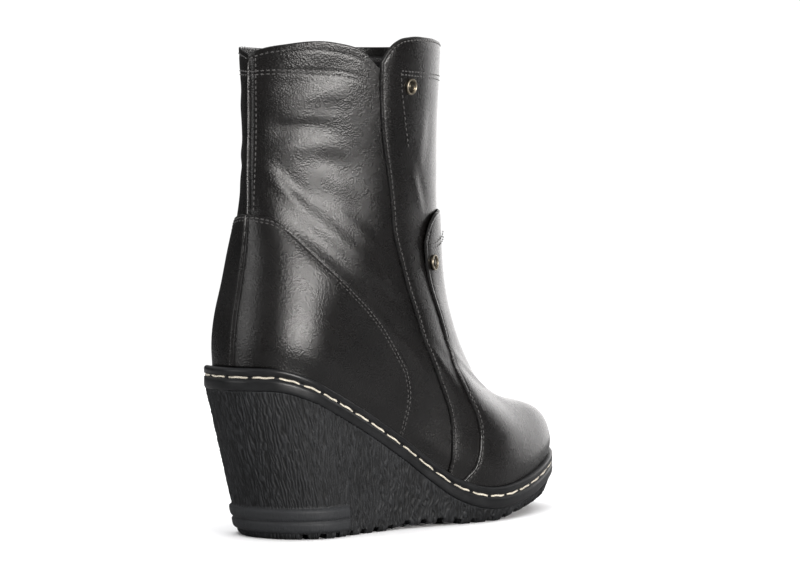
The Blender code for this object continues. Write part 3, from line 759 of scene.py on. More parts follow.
def welt_rubber(name):
    look = bpy.context.scene.boot_finish
    colour = tuple(look.welt_colour)
    n = Nodes(name)
    haze = n.cloud(140.0, 4.0, 0.6)
    fine = n.cloud(1800.0, 4.0, 0.6)
    tone = n.blend(n.spread(haze, 0.35, 0.7, 0.0, 1.0), shade(colour, 0.45), shade(colour, 0.75))
    normal = n.bump(fine, 0.3, 0.00006, n.bump(haze, 0.3, 0.0003))
    rough = n.spread(haze, 0.3, 0.7, 0.28, 0.42)
    return n.finish(Base_Color=tone, Roughness=rough, Normal=normal, Specular_IOR_Level=0.42)


def wedge_rubber(name):
    """Moulded bark: its valleys are darkened by the piece's own bark attribute, under fine grit."""
    look = bpy.context.scene.boot_finish
    colour = tuple(look.rubber_colour)
    n = Nodes(name)
    ridge = n.add("ShaderNodeAttribute", attribute_name="bark").outputs["Fac"]
    worm = n.cloud(1.0, 2.0, 0.6, n.mapped((900.0, 900.0, 190.0)))
    grit = n.cloud(1300.0, 4.0, 0.65)
    dust = n.cloud(60.0, 4.0, 0.6)
    tone = n.blend(n.spread(dust, 0.35, 0.75, 0.0, 1.0), shade(colour, 0.55), shade(colour, 0.9))
    # painted shade: the bark's valleys, low in the bark attribute, are darkened
    tone = n.blend(n.spread(ridge, 0.08, 0.45, 0.9, 0.0), tone, shade(colour, 0.10))
    # painted highlight: the smooth bands, ribs and highest crests, full in the bark attribute, are
    # lightened
    tone = n.blend(n.spread(ridge, 0.93, 0.99, 0.0, 0.5), tone, shade(colour, 1.1))
    tone = n.blend(n.spread(grit, 0.58, 0.72, 0.0, 0.5), tone, shade(colour, 2.6))
    normal = n.bump(grit, 0.4, 0.00020, n.bump(worm, 0.5, 0.0005))
    rough = n.spread(grit, 0.3, 0.7, 0.5, 0.7)
    return n.finish(Base_Color=tone, Roughness=rough, Normal=normal, Specular_IOR_Level=0.4)


def antique_brass(name, light):
    look = bpy.context.scene.boot_finish
    colour = shade(tuple(look.brass_colour), light)
    n = Nodes(name)
    tarnish = n.cloud(420.0, 4.0, 0.6)
    scratch = n.cloud(2200.0, 3.0, 0.6)
    tone = n.blend(n.spread(tarnish, 0.4, 0.7, 0.0, 1.0), colour, shade(colour, 0.35))
    rough = n.spread(scratch, 0.3, 0.7, 0.24, 0.42)
    return n.finish(Base_Color=tone, Metallic=1.0, Roughness=rough, Normal=n.bump(scratch, 0.2, 0.00004))


def pale_floor(name):
    look = bpy.context.scene.boot_stage
    n = Nodes(name)
    haze = n.cloud(6.0, 3.0)
    colour = tuple(look.floor_colour)
    tone = n.blend(n.spread(haze, 0.3, 0.7, 0.0, 1.0), colour, shade(colour, 0.985))
    mirrored = n.add("ShaderNodeLightPath").outputs["Is Glossy Ray"]
    tone = n.blend(mirrored, tone, shade(colour, look.floor_mirrored))
    return n.finish(Base_Color=tone, Roughness=0.8, Specular_IOR_Level=0.1)


# Pieces


def cuff_row(w, row):
    """v of the upper or lower row of stitches below the collar, which dips towards the front."""
    round_w = np.abs((np.asarray(w, float) + 1) % 2 - 1)
    return np.interp(round_w, [0.0, 0.23, 0.354, 0.424], [0.949, 0.9585, 0.960, 0.950]) - 0.0085 * row


def make_quarters():
    """Outer leather of the whole upper, turned over at the collar.

    Rows climb the outer face, go over the collar as a half round and come down inside.
    """
    form = bpy.context.scene.boot_sizes
    w = graded(0.0, 2.0, 0.0095, 0.0022, [(0.0, 0.028), (2.0, 0.028)])[:-1]
    share = graded(0.0, 1.0, 0.0062, 0.0026, [(0.955, 0.03), (1.0, 0.03)])
    top = collar_v(w, along(COLLAR, w) * MM)
    v = share[:, None] * (top - 0.0035)
    pulled = form.stitch_pull * MM * hump((share[:, None] - 0.985) * SHAFT_RISE / MM, 0.6)
    double = sum(hump((v - cuff_row(w, row)[None, :]) * 200, 0.6) for row in (0, 1))
    double = double * step_up(0.43, 0.39, np.abs((w + 1) % 2 - 1)) * form.stitch_pull * MM
    outer = surface(v, w[None, :], -pulled - double)
    seat(outer[0])
    half = OUTER_LEATHER / 2
    over = []
    edge_v = v[-1]
    for angle in np.linspace(0, np.pi, 9)[1:]:
        raised = collar_v(w, 0) - 1 + edge_v + (collar_v(w, half * np.sin(angle)) - 1)
        over.append(surface(raised, w, -half + half * np.cos(angle)))
    inner_v = np.linspace(1, 0, 70)[:, None] ** 1.2 * edge_v
    inner = surface(inner_v, w[None, :], -OUTER_LEATHER)
    seat(inner[-1])
    points = np.concatenate([outer, np.array(over), inner[1:]])
    add_band("quarters", points, black_leather("quarter_leather"), "upper")


def make_lining():
    """Pile lining inside the leather, with short fibres that stand up along the collar."""
    form = bpy.context.scene.boot_sizes
    w = stations(260)
    top = collar_v(w, along(COLLAR, w) * MM) - 0.004
    share = np.linspace(0, 1, 120)[:, None]
    v = share * top
    outer = surface(v, w[None, :], -OUTER_LEATHER - 0.05 * MM)
    lumps = noise(ring_point(v, w[None, :]), 0.0022, 8) * 0.5 * MM
    thin = step_up(0.0, 0.02, 1 - share)
    padding = (WALL - OUTER_LEATHER - 0.4 * MM) * thin
    inner = surface(v, w[None, :], -OUTER_LEATHER - 0.1 * MM - padding - lumps)
    for face in (outer, inner):
        seat(face[0])
    material = dark_lining("lining_pile")
    add_band("lining", np.concatenate([outer, inner[::-1]]), material, "upper")
    random = np.random.default_rng(11)
    count = FIBRES
    w = random.uniform(0, 2, count)
    depth = random.uniform(0, 1, count) ** 2 * FIBRE_DEPTH
    v = collar_v(w, along(COLLAR, w) * MM - depth) - 0.006
    root = surface(v, w, -OUTER_LEATHER - 0.5 * MM)
    normal = face_normal(v, w)
    tall = np.array([0.0, 0.0, 1.0])
    up = random.uniform(0.3, 1.0, (count, 1)) * np.where(depth < 2 * MM, 1.0, 0.25)[:, None]
    lean = -normal * random.uniform(0.1, 0.7, (count, 1)) + tall * up + random.normal(0, 0.25, (count, 3))
    lean /= np.linalg.norm(lean, axis=1, keepdims=True)
    side = np.cross(lean, random.normal(0, 1, (count, 3)))
    side /= np.linalg.norm(side, axis=1, keepdims=True)
    other = np.cross(lean, side)
    length = random.uniform(0.5, 1.0, (count, 1)) * form.pile_length * MM
    curl = random.normal(0, 0.35, (count, 3)) * length
    rings = []
    for share, width in ((0.0, 1.0), (0.55, 0.8), (1.0, 0.15)):
        centre = root + lean * length * share + curl * share**2
        for angle in (0.0, 2.1, 4.2):
            rings.append(centre + (side * np.cos(angle) + other * np.sin(angle)) * FIBRE_RADIUS * width)
    points = np.stack(rings, 1).reshape(-1, 3)
    pattern = quads(wrapped(np.arange(9).reshape(3, 3)))
    pattern = np.concatenate([pattern, [(0, 1, 2, 2), (6, 8, 7, 7)]])
    tris = np.concatenate([pattern[:, [0, 1, 2]], pattern[:, [0, 2, 3]]])
    tris = tris[(tris[:, 1] != tris[:, 2]) & (tris[:, 0] != tris[:, 2])]
    faces = (np.arange(count)[:, None, None] * 9 + tris).reshape(-1, 3)
    add_piece("collar_pile", points, faces, material)


def make_counter():
    across = np.sin(graded(-1.0, 1.0, 0.011, 0.0032, [(-1, 0.03), (1, 0.03), (0, 0.03)]) * np.pi / 2)
    share = graded(0.0, 1.0, 0.012, 0.0028, [(1.0, 0.05)])[:, None]
    v = FOOT_V + (along(COUNTER_TOP, np.abs(across)) - FOOT_V) * share
    w = across * along(COUNTER_EDGE, v)
    lay_leather("counter", v, w, 0.05 * MM, OVER_UPPER + OVERLAY, black_leather("counter_leather"),
                "heel_counter", (False, True, True, True))


def make_front_panel():
    """Front panel of the shaft. Its top stands over the collar as a flap."""
    across = graded(0.0, 1.0, 0.0068, 0.0016, [(0, 0.03), (1, 0.03)])
    share = graded(0.0, 1.0, 0.0075, 0.0022, [(1.0, 0.05)])[:, None]
    foot = np.maximum(along(PANEL_FOOT, across), FOOT_V)
    top = collar_v(between_edges(PANEL_EDGE, 1.0, across), along(PANEL_TOP, across) * MM)
    v = foot + (top - foot) * share
    w = between_edges(PANEL_EDGE, v, across)
    lay_leather("front_panel_leather", v, w, 0.05 * MM, OVER_UPPER + OVERLAY,
                black_leather("panel_leather"), "front_panel", (False, True, True, True))


def make_vamp():
    """Vamp round the toe, running up the front as a flap over the panel."""
    across = graded(0.0, 1.0, 0.0062, 0.0016, [(0, 0.03), (1, 0.03)])
    share = graded(0.0, 1.0, 0.0062, 0.0020, [(1.0, 0.05)])[:, None]
    v = FOOT_V + (along(VAMP_TOP, across) - FOOT_V) * share
    w = between_edges(VAMP_EDGE, v, across)
    past_panel = np.clip((TUCK_V - TUCK_FADE - v) / TUCK_FADE, 0, 1)
    past_panel = past_panel * np.clip((TUCK_W - np.abs(w - 1)) / TUCK_FADE, 0, 1)
    under = OVER_PANEL + (OVER_UPPER - OVER_PANEL) * past_panel - 0.2 * MM
    lay_leather("vamp_leather_piece", v, w, under, OVER_PANEL + OVERLAY, black_leather("vamp_leather"),
                "vamp", (False, True, True, True), flap_lift(v, across[None, :]))


def make_footbed():
    """Cloth on the insole, which keeps its CAD solid."""
    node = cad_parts["insole"]
    node.data.materials.clear()
    node.data.materials.append(footbed_cloth("footbed_cloth"))


def make_welt():
    """Welt carried round the foot: a rounded lip, a stitched groove and a flat band below it."""
    w = stations(900)
    foot = skin(0.0, w)
    lip = [(WELT_WIDTH - LIP_ROUND + LIP_ROUND * np.cos(a),
            WELT_HEIGHT - LIP_ROUND + LIP_ROUND * np.sin(a)) for a in np.linspace(0, np.pi / 2, 7)]
    groove = [(WELT_WIDTH - GROOVE_DEPTH * np.cos(a) ** 0.6, GROOVE_RISE + GROOVE_WIDTH / 2 * np.sin(a))
              for a in np.linspace(-np.pi / 2 + 0.01, np.pi / 2 - 0.01, 9)]
    band = [(WELT_WIDTH - 0.7 * MM, -2.0 * MM), (WELT_WIDTH - 0.2 * MM, -1.3 * MM),
            (WELT_WIDTH, -0.3 * MM), (WELT_WIDTH, 2.0 * MM)]
    shelf = [(2.4 * MM, WELT_HEIGHT - 0.15 * MM), (1.0 * MM, WELT_HEIGHT - 0.05 * MM),
             (0.0, WELT_HEIGHT)]
    profile = [(0.0, GAP), (WELT_WIDTH - 0.9 * MM, GAP)] + band + groove + lip + shelf
    lean = plan_grown(skin(RINGS[1, 0], w), GAP)[0][:, :2] - plan_grown(skin(0.0, w), GAP)[0][:, :2]
    rows = []
    for reach, height in profile:
        row, _ = plan_grown(foot, GAP + reach)
        row[:, :2] += lean * (1 - reach / WELT_WIDTH) * height / WELT_HEIGHT
        row[:, 2] = sole_top(-row[:, 1]) + height
        rows.append(row)
    rows = np.array(rows)
    rows[..., :2] -= MIDDLE
    add_band("welt_strip", rows, welt_rubber("welt_rubber"), "welt")
    centre, normal = plan_grown(foot, GAP + WELT_WIDTH - GROOVE_DEPTH)
    centre[:, 2] = sole_top(-centre[:, 1]) + GROOVE_RISE
    centre[:, :2] -= MIDDLE
    centre = np.concatenate([centre, centre[:1]])
    normal = np.concatenate([normal, normal[:1]])
    normal = np.concatenate([normal, np.zeros((len(normal), 1))], axis=1)
    points, faces = thread_along([(centre, normal)], *WELT_STITCH, 8, 21, WELT_STITCH_RIPPLE)
    add_piece("welt_stitches", points, faces, cream_thread("cream_thread"))


def bark(round_mm, up_mm):
    """Share from 0 to 1 of moulded bark's height: upright ridges that wander and break.

    A cosine wave runs round the side at the ridges' own pitch. Two slow noises push it to and fro,
    and a third lowers some stretches of each ridge.
    """
    flat = np.stack([round_mm, up_mm], -1)
    wander = 1.5 * noise(flat / (4.0, 8.0), 1, 21) + 1.4 * noise(flat / (1.8, 3.2), 1, 22)
    wave = 0.5 + 0.5 * np.cos(2 * np.pi * (round_mm / BARK_PITCH_MM + wander))
    return wave * (0.35 + 0.65 * noise(flat / (1.7, 2.8), 1, 23))


def make_sole():
    """Moulded wedge: bark-like side, two ribs round the heel and notches along the lower edge.

    Rows go down the side and each follows the outline, drawn in by the side's own profile. The
    underside joins the two halves of the last row.
    """
    sizes = bpy.context.scene.boot_sizes
    count = 1300
    outline, normal = plan_grown(skin(0.0, stations(count)), GAP + WELT_WIDTH - SOLE_SET_BACK)
    s = -outline[:, 1]
    steps = np.linalg.norm(np.diff(outline[:, :2], axis=0), axis=1)
    walked = np.concatenate([[0], np.cumsum(steps)]) / MM
    top = sole_top(s)
    thickness = top - sole_under(s)
    heights = np.concatenate([np.linspace(75, 17, 32), np.linspace(16, 0, 27)])
    heel_only = step_up(RIB_END + RIB_FADE, RIB_END - RIB_FADE, s / LENGTH)
    rows, painted_light_shares = [], []
    for height in heights:
        most = np.interp(height, SOLE_SIDE[::-1, 0], SOLE_SIDE[::-1, 1])
        rise = np.minimum(height * MM, most * thickness)
        down = 1 - rise / thickness
        slant = HEEL_SLANT * np.clip(1 - s / (SLANT_REACH * LENGTH), 0, 1) * down
        rib = sum(np.sqrt(np.clip(1 - ((height - middle) / half) ** 4, 0, 1))
                  for middle, half in HEEL_RIBS)
        inset_by = along(SOLE, s / LENGTH, 3) * MM * down - RIB_PROUD * rib * heel_only
        inset_by = inset_by + EDGE_CHAMFER * hump(rise / MM, 0.7)
        below = (thickness - rise) / MM
        in_ribs = heel_only * step_up(15.8, 15.0, height) * step_up(2.8, 3.4, height)
        plain = step_up(1.4, 3.0, below) * (1 - in_ribs)
        ridge = bark(walked, rise / MM + 40)
        inset_by = inset_by - sizes.bark_depth * MM * (BARK_TALL_MM * ridge - BARK_SUNK_MM) * plain
        # share kept for painted shade in the bark's valleys and a painted highlight on its smooth bands
        # and ribs
        painted_light_shares.append(1 - plain * (1 - 0.9 * ridge))
        row = outline.copy()
        row[:, :2] -= normal * inset_by[:, None]
        row[:, 1] -= slant
        row[:, 2] = sole_under(-row[:, 1]) + rise if most < 1 else top
        rows.append(row)
    rows = np.array(rows)
    edge = rows[-1]
    closed = np.concatenate([edge, edge[:1]])
    lengths = np.concatenate([[0], np.cumsum(np.linalg.norm(np.diff(closed[:, :2], axis=0), axis=1))])
    lugs = int(round(lengths[-1] / LUG_PITCH))
    phase = lengths[:-1] / lengths[-1] * lugs % 1.0
    from_notch = np.abs(phase - 0.5) * lengths[-1] / lugs
    from_notch = np.where(normal[:, 1] < LUG_FREE_BACK, from_notch, LUG_PITCH)
    notch = step_up(LUG_GAP / 2 + 0.2 * MM, LUG_GAP / 2 - 0.2 * MM, from_notch)
    under = sole_under(-rows[..., 1])
    rows[..., 2] = np.maximum(rows[..., 2], under + LUG_DEPTH * notch)
    cap_share = np.linspace(0, 1, BOTTOM_ROWS + 2)[:, None, None]
    one_side = np.arange(count // 2 + 1)
    other_side = (-one_side) % count
    bottom = edge[one_side] + (edge[other_side] - edge[one_side]) * cap_share
    flat = bottom.reshape(-1, 3)[:, :2]
    near, which = np.empty(len(flat)), np.empty(len(flat), int)
    for start in range(0, len(flat), 4000):
        square = ((flat[start:start + 4000, None] - edge[None, :, :2]) ** 2).sum(-1)
        which[start:start + 4000] = square.argmin(axis=1)
        near[start:start + 4000] = np.sqrt(square.min(axis=1))
    reach = step_up(LUG_REACH + 0.3 * MM, LUG_REACH - 0.3 * MM, near)
    zigzag = flat[:, 1] + TREAD_SWING * np.abs((flat[:, 0] / TREAD_ZIGZAG) % 2 - 1)
    tread = step_up(0.16, 0.12, np.abs(zigzag / TREAD_PITCH % 1.0 - 0.5))
    tread = tread * (1 - step_up(LUG_REACH + 3 * MM, LUG_REACH + 1 * MM, near))
    lift = np.maximum(LUG_DEPTH * notch[which] * reach, TREAD_DEPTH * tread)
    bottom[..., 2] = sole_under(-bottom[..., 1]) + lift.reshape(bottom.shape[:2])
    bottom[0], bottom[-1] = rows[-1][one_side], rows[-1][other_side]
    lid = np.linspace(0, 1, 5)[1:-1, None, None]
    upper_lid = rows[0][one_side] + (rows[0][other_side] - rows[0][one_side]) * lid
    upper_lid[..., 2] = sole_top(-upper_lid[..., 1])
    numbers = np.arange(rows.shape[0] * count).reshape(rows.shape[:2])
    bottom_numbers = np.concatenate([
        numbers[-1][one_side][None],
        numbers.size + np.arange(BOTTOM_ROWS * len(one_side)).reshape(BOTTOM_ROWS, -1),
        numbers[-1][other_side][None]])
    lid_start = numbers.size + BOTTOM_ROWS * len(one_side)
    lid_numbers = np.concatenate([
        numbers[0][one_side][None],
        lid_start + np.arange(3 * len(one_side)).reshape(3, -1),
        numbers[0][other_side][None]])
    for block in (bottom_numbers, lid_numbers):
        block[:, 0], block[:, -1] = block[0, 0], block[0, -1]
    points = np.concatenate([rows.reshape(-1, 3), bottom[1:-1].reshape(-1, 3), upper_lid.reshape(-1, 3)])
    points[:, :2] -= MIDDLE
    faces = np.concatenate([quads(wrapped(numbers)), quads(bottom_numbers)[:, ::-1], quads(lid_numbers)])
    # painted shade and highlight share; the underside gets a share that is neither darkened nor lightened
    painted_light_mask = np.concatenate([np.ravel(painted_light_shares), np.full(len(points) - rows[..., 0].size, 0.6)])
    add_mixed_piece("wedge", points, clean_faces(faces), wedge_rubber("wedge_rubber"),
                    "wedge_sole", painted_light_mask)


def clean_faces(faces):
    """Four-sided faces and, where two corners are one point, three-sided ones."""
    double = [faces[:, k] == faces[:, (k + 1) % 4] for k in range(4)]
    lost = np.sum(double, axis=0)
    whole = faces[lost == 0]
    threes = [np.delete(faces[(lost == 1) & double[k]], k, axis=1) for k in range(4)]
    return whole, np.concatenate(threes)


def add_mixed_piece(name, points, faces, material, replaced, painted_light_mask=None):
    """Closed mesh of four-sided and three-sided faces, told as triangles, without loose points."""
    whole, threes = faces
    tris = np.concatenate([whole[:, [0, 1, 2]], whole[:, [0, 2, 3]], threes])
    used, renumbered = np.unique(tris, return_inverse=True)
    painted_light_mask = None if painted_light_mask is None else painted_light_mask[used]
    add_piece(name, points[used], renumbered.reshape(tris.shape), material, replaced, painted_light_mask)


def lathe(middle, normal, profile):
    """Points and faces of a profile of radius and height turned round a normal, closed at both ends."""
    turns = 56
    angle = np.arange(turns) * 2 * np.pi / turns
    side = np.cross(normal, (0.0, 0.0, 1.0))
    side /= np.linalg.norm(side)
    up = np.cross(side, normal)
    turn = np.cos(angle)[:, None] * side + np.sin(angle)[:, None] * up
    radius, height = profile[:, None, None, 0], profile[:, None, None, 1]
    rings = middle + turn * SNAP_RADIUS * radius + normal * SNAP_HEIGHT * height
    numbers = np.arange(len(profile) * turns).reshape(len(profile), turns)
    caps = np.array([[0, k + 1, k + 2, k + 2] for k in range(turns - 2)])
    faces = np.concatenate([quads(wrapped(numbers)), caps[:, ::-1], caps + numbers[-1, 0]])
    return rings.reshape(-1, 3), faces


def make_snaps():
    """Cap of each press stud: a rolled bright rim, and a dark dished centre with a low boss."""
    t = np.linspace(-0.35, 1.25, 11) * np.pi
    rim = np.stack([0.885 + 0.115 * np.cos(t), 0.62 + 0.38 * np.sin(t)], -1)
    rim = np.concatenate([[(0.80, 0.0), (0.97, 0.0)], rim, [(0.74, 0.42), (0.72, 0.2)]])
    centre = np.array([(0.80, 0.1), (0.80, 0.42), (0.70, 0.36), (0.52, 0.30), (0.45, 0.34), (0.40, 0.55),
                       (0.32, 0.66), (0.18, 0.72), (0.02, 0.74)])
    bright = antique_brass("antique_brass", 1.0)
    dark = antique_brass("dark_brass", 0.22)
    for name, (v, w, face) in SNAPS.items():
        lift = flap_lift(v) if name == "snap_lower" else 0.0
        middle, normal = surface(v, w, face + lift), face_normal(v, w)
        for part, profile, material in (("_rim", rim, bright), ("_centre", centre, dark)):
            points, faces = lathe(middle, normal, profile)
            add_mixed_piece(name + part, points, clean_faces(faces), material, name)


def stitch_rows():
    """Rows of stitching: each is v and w along it and the height of the leather it goes through."""
    form = bpy.context.scene.boot_sizes
    step = form.stitch_inset * MM
    quarter, over_quarter, over_panel = 0.0, OVER_UPPER + OVERLAY, OVER_PANEL + OVERLAY
    rows = []
    for first, last in ((0.012, 0.447), (1.555, 1.99)):
        w = np.linspace(first, last, 90)
        rows.append((collar_v(w, along(COLLAR, w) * MM) - 0.014, w, quarter))
        for row in (0, 1):
            rows.append((cuff_row(w, row), w, quarter))
    v = np.linspace(0.975, 0.925, 20)
    rows.append((v, 0.402 + (0.975 - v) * 0.3, quarter))
    back = np.linspace(0.065, 0.985, 240)
    mm_to_w = MM / np.interp(back, BACK_ROWS, BACK_SPEED)
    counter_to = 0.578
    height = np.where(back < counter_to, over_quarter * 0.8, quarter)
    rows.append((back, 0.95 * mm_to_w, height - 0.25 * MM))
    upper_back = back[back > counter_to + 0.01]
    rows.append((upper_back, 3.4 * mm_to_w[back > counter_to + 0.01], quarter + 0 * upper_back))
    across = np.sin(np.linspace(-1, 1, 300) * np.pi / 2)
    top_v = along(COUNTER_TOP, np.abs(across))
    top_w = across * along(COUNTER_EDGE, top_v)
    side_v = np.linspace(FOOT_V + 0.006, 0.30, 40, endpoint=False)
    edge_v = np.concatenate([side_v, top_v[::-1], side_v[::-1]])
    lateral = along(COUNTER_EDGE, side_v)
    edge_w = np.concatenate([lateral, top_w[::-1], -lateral[::-1]])
    for extra in (0.0, 1.5):
        near_v, near_w = inset(edge_v, edge_w, step + extra * MM)
        keep = near_v > FOOT_V + 0.008
        rows.append((near_v[keep], near_w[keep], over_quarter * 0.84))
    side_v = np.linspace(FOOT_V + 0.006, collar_v(along(PANEL_EDGE, 1.0), PANEL_TOP[0, 1] * MM), 160)
    across = graded(0.0, 1.0, 0.01, 0.002, [(0, 0.08), (1, 0.08)])[1:-1]
    top_v = collar_v(between_edges(PANEL_EDGE, 1.0, across), along(PANEL_TOP, across) * MM)
    edge_v = np.concatenate([side_v, top_v, side_v[::-1]])
    lateral = along(PANEL_EDGE, side_v)
    edge_w = np.concatenate([lateral, between_edges(PANEL_EDGE, top_v, across), 2 - lateral[::-1]])
    near_v, near_w = inset(edge_v, edge_w, -step)
    rows.append((near_v, near_w, over_quarter * 0.84))
    w = np.linspace(0.520, 1.30, 120)
    for height in (0.968, 0.9625):
        rows.append((height + 0 * w, w, over_quarter))
    v = np.linspace(0.967, 0.854, 50)
    snap_row = np.interp(v, [0.854, 0.896, 0.942, 0.967], [0.570, 0.550, 0.529, 0.521])
    rows.append((v, snap_row, over_quarter))
    side_v = np.linspace(FOOT_V + 0.006, VAMP_TOP[0, 1], 150)
    across = graded(0.0, 1.0, 0.01, 0.003, [(0, 0.08), (1, 0.08)])[1:-1]
    top_v = along(VAMP_TOP, across)
    edge_v = np.concatenate([side_v, top_v, side_v[::-1]])
    lateral = along(VAMP_EDGE, side_v)
    edge_w = np.concatenate([lateral, between_edges(VAMP_EDGE, top_v, across), 2 - lateral[::-1]])
    near_v, near_w = inset(edge_v, edge_w, -step)
    low = near_v < 0.34
    medial = near_w > 1
    for part in (low & ~medial, low & medial):
        rows.append((near_v[part], near_w[part], over_panel - 0.2 * MM))
    for shift in (0.0, 0.008):
        t = np.linspace(0, 1, 40)
        row_v, row_w = 0.708 + 0.046 * t + shift, 0.655 + 0.155 * t
        rows.append((row_v, row_w, over_panel + flap_lift(row_v, 0.14 * t)))
    return rows


def make_stitching():
    form = bpy.context.scene.boot_sizes
    lines = [stitch_line(v, w, height) for v, w, height in stitch_rows()]
    points, faces = thread_along(lines, form.stitch_pitch * MM, form.stitch_pitch * 0.70 * MM,
                                 LEATHER_THREAD, LEATHER_THREAD_RISE)
    add_mixed_piece("leather_stitches", points, clean_faces(faces), dark_thread("black_thread"),
                    None)


# Stage


CAMERA_AZIMUTH = 220.0
CAMERA_DISTANCE = 1.7
CAMERA_HEIGHT = 0.195
LENS_MM = 153.0
AIM_HEIGHT = 0.125
AIM_PIXEL = (388.5, 272.0)
PHOTO_SIZE = (800, 579)


def way_to(azimuth, elevation):
    a, e = np.radians(azimuth), np.radians(elevation)
    return np.array([np.sin(a) * np.cos(e), -np.cos(a) * np.cos(e), np.sin(e)])


def turned_to(thing, way):
    """Turns an object so that its -Z looks along a way, with its own Y upwards."""
    thing.rotation_euler = Vector(way).to_track_quat("-Z", "Y").to_euler()


def place_camera():
    """Camera at the photo's angle, aimed so that a point over the origin falls on its pixel."""
    data = bpy.data.cameras.new("camera")
    data.lens, data.sensor_width = LENS_MM, 36.0
    data.clip_start, data.clip_end = 0.05, 60.0
    camera = bpy.data.objects.new("camera", data)
    bpy.context.scene.collection.objects.link(camera)
    where = way_to(CAMERA_AZIMUTH, 0) * CAMERA_DISTANCE + np.array([0, 0, CAMERA_HEIGHT])
    focal = LENS_MM / data.sensor_width * PHOTO_SIZE[0]
    ahead = np.array([0, 0, AIM_HEIGHT]) - where
    ahead /= np.linalg.norm(ahead)
    right = np.arctan((AIM_PIXEL[0] - PHOTO_SIZE[0] / 2) / focal)
    raised = np.arctan((PHOTO_SIZE[1] / 2 - AIM_PIXEL[1]) / focal)
    elevation = np.arcsin(ahead[2]) - raised
    azimuth = np.arctan2(ahead[1], ahead[0]) + right / np.cos(np.arcsin(ahead[2]))
    look = (np.cos(elevation) * np.cos(azimuth), np.cos(elevation) * np.sin(azimuth), np.sin(elevation))
    camera.location = where
    turned_to(camera, look)
    bpy.context.scene.camera = camera


def add_softbox(name, azimuth, elevation, distance, width, height, radiance, colour):
    """Large soft light that looks at the boot. Its power gives the stated radiance."""
    data = bpy.data.lights.new(name, "AREA")
    data.shape, data.size, data.size_y = "RECTANGLE", width, height
    data.energy = radiance * np.pi * width * height
    data.color = colour
    light = bpy.data.objects.new(name, data)
    bpy.context.scene.collection.objects.link(light)
    way = way_to(azimuth, elevation)
    light.location = way * distance + np.array([0, 0, 0.12])
    turned_to(light, -way)
    light.visible_camera = False
    return light


def make_world():
    """White to the eye. For the lighting it is dark at the sides and lighter overhead."""
    look = bpy.context.scene.boot_stage
    world = bpy.data.worlds.new("studio")
    bpy.context.scene.world = world
    world.use_nodes = True
    nodes, links = world.node_tree.nodes, world.node_tree.links
    background = nodes["Background"]
    eye = nodes.new("ShaderNodeLightPath")
    mix = nodes.new("ShaderNodeMix")
    links.new(eye.outputs["Is Camera Ray"], mix.inputs["Factor"])
    way = nodes.new("ShaderNodeTexCoord")
    split = nodes.new("ShaderNodeSeparateXYZ")
    rise = nodes.new("ShaderNodeMapRange")
    links.new(way.outputs["Generated"], split.inputs["Vector"])
    links.new(split.outputs["Z"], rise.inputs["Value"])
    for name, value in (("From Min", 0.10), ("From Max", 0.60),
                        ("To Min", look.room_light), ("To Max", look.sky_light)):
        rise.inputs[name].default_value = value
    links.new(rise.outputs["Result"], mix.inputs["A"])
    mix.inputs["B"].default_value = 1.05
    links.new(mix.outputs["Result"], background.inputs["Strength"])
    background.inputs["Color"].default_value = (1.0, 1.0, 1.0, 1.0)


def make_floor():
    look = bpy.context.scene.boot_stage
    turns = 96
    angle = np.arange(turns) * 2 * np.pi / turns
    circle = np.stack([np.cos(angle), np.sin(angle), 0 * angle], -1) * look.floor_radius
    mesh = bpy.data.meshes.new("floor")
    mesh.from_pydata(circle.tolist(), [], [tuple(range(turns))])
    mesh.materials.append(pale_floor("pale_floor"))
    floor = bpy.data.objects.new("floor", mesh)
    bpy.context.scene.collection.objects.link(floor)


def make_stage():
    look = bpy.context.scene.boot_stage
    make_floor()
    make_world()
    place_camera()
    add_softbox("key_softbox", 260, 10, 1.7, 1.20, 0.36, look.key_light, (1.0, 0.975, 0.95))
    add_softbox("back_softbox", 162, 12, 1.7, 0.8, 0.5, look.fill_light, (1.0, 0.99, 0.98))
    add_softbox("far_softbox", 14, 8, 1.7, 1.8, 0.8, look.far_light, (1.0, 0.985, 0.98))
    top = add_softbox("top_softbox", 40, 88, 1.9, 3.2, 3.2, look.top_light, (1.0, 1.0, 1.0))
    top.visible_glossy = False
    bpy.context.scene.view_settings.view_transform = "Standard"
    bpy.context.scene.view_settings.look = "None"


# Settings, operators and panel


def number(name, description, default, low=0.0, **more):
    return bpy.props.FloatProperty(name=name, description=description, default=default, min=low, **more)


def colour(name, description, default):
    return bpy.props.FloatVectorProperty(name=name, description=description, default=default,
                                         subtype="COLOR", min=0, max=1)


class BootSizes(bpy.types.PropertyGroup):
    """Sizes of the leatherwork and of the sole's texture."""

    fold_depth: number("Fold depth", "Share of the folds' own height", 1.0, max=2)
    seam_depth: number("Seam depth", "Share of the back seam's own height", 1.0)
    edge_round: number("Edge round", "Rolled edge in mm", 0.6, 0.1)
    stitch_pitch: number("Stitch pitch", "Stitch to stitch in mm", 2.6, 1)
    stitch_inset: number("Stitch inset", "Row from its edge in mm", 1.6, 0.5)
    stitch_pull: number("Stitch pull", "Dip along a row in mm", 0.14)
    pile_length: number("Pile length", "Length of the lining's fibres in mm", 1.5, 0.1)
    bark_depth: number("Bark depth", "Share of the wedge texture's own depth", 1.0)


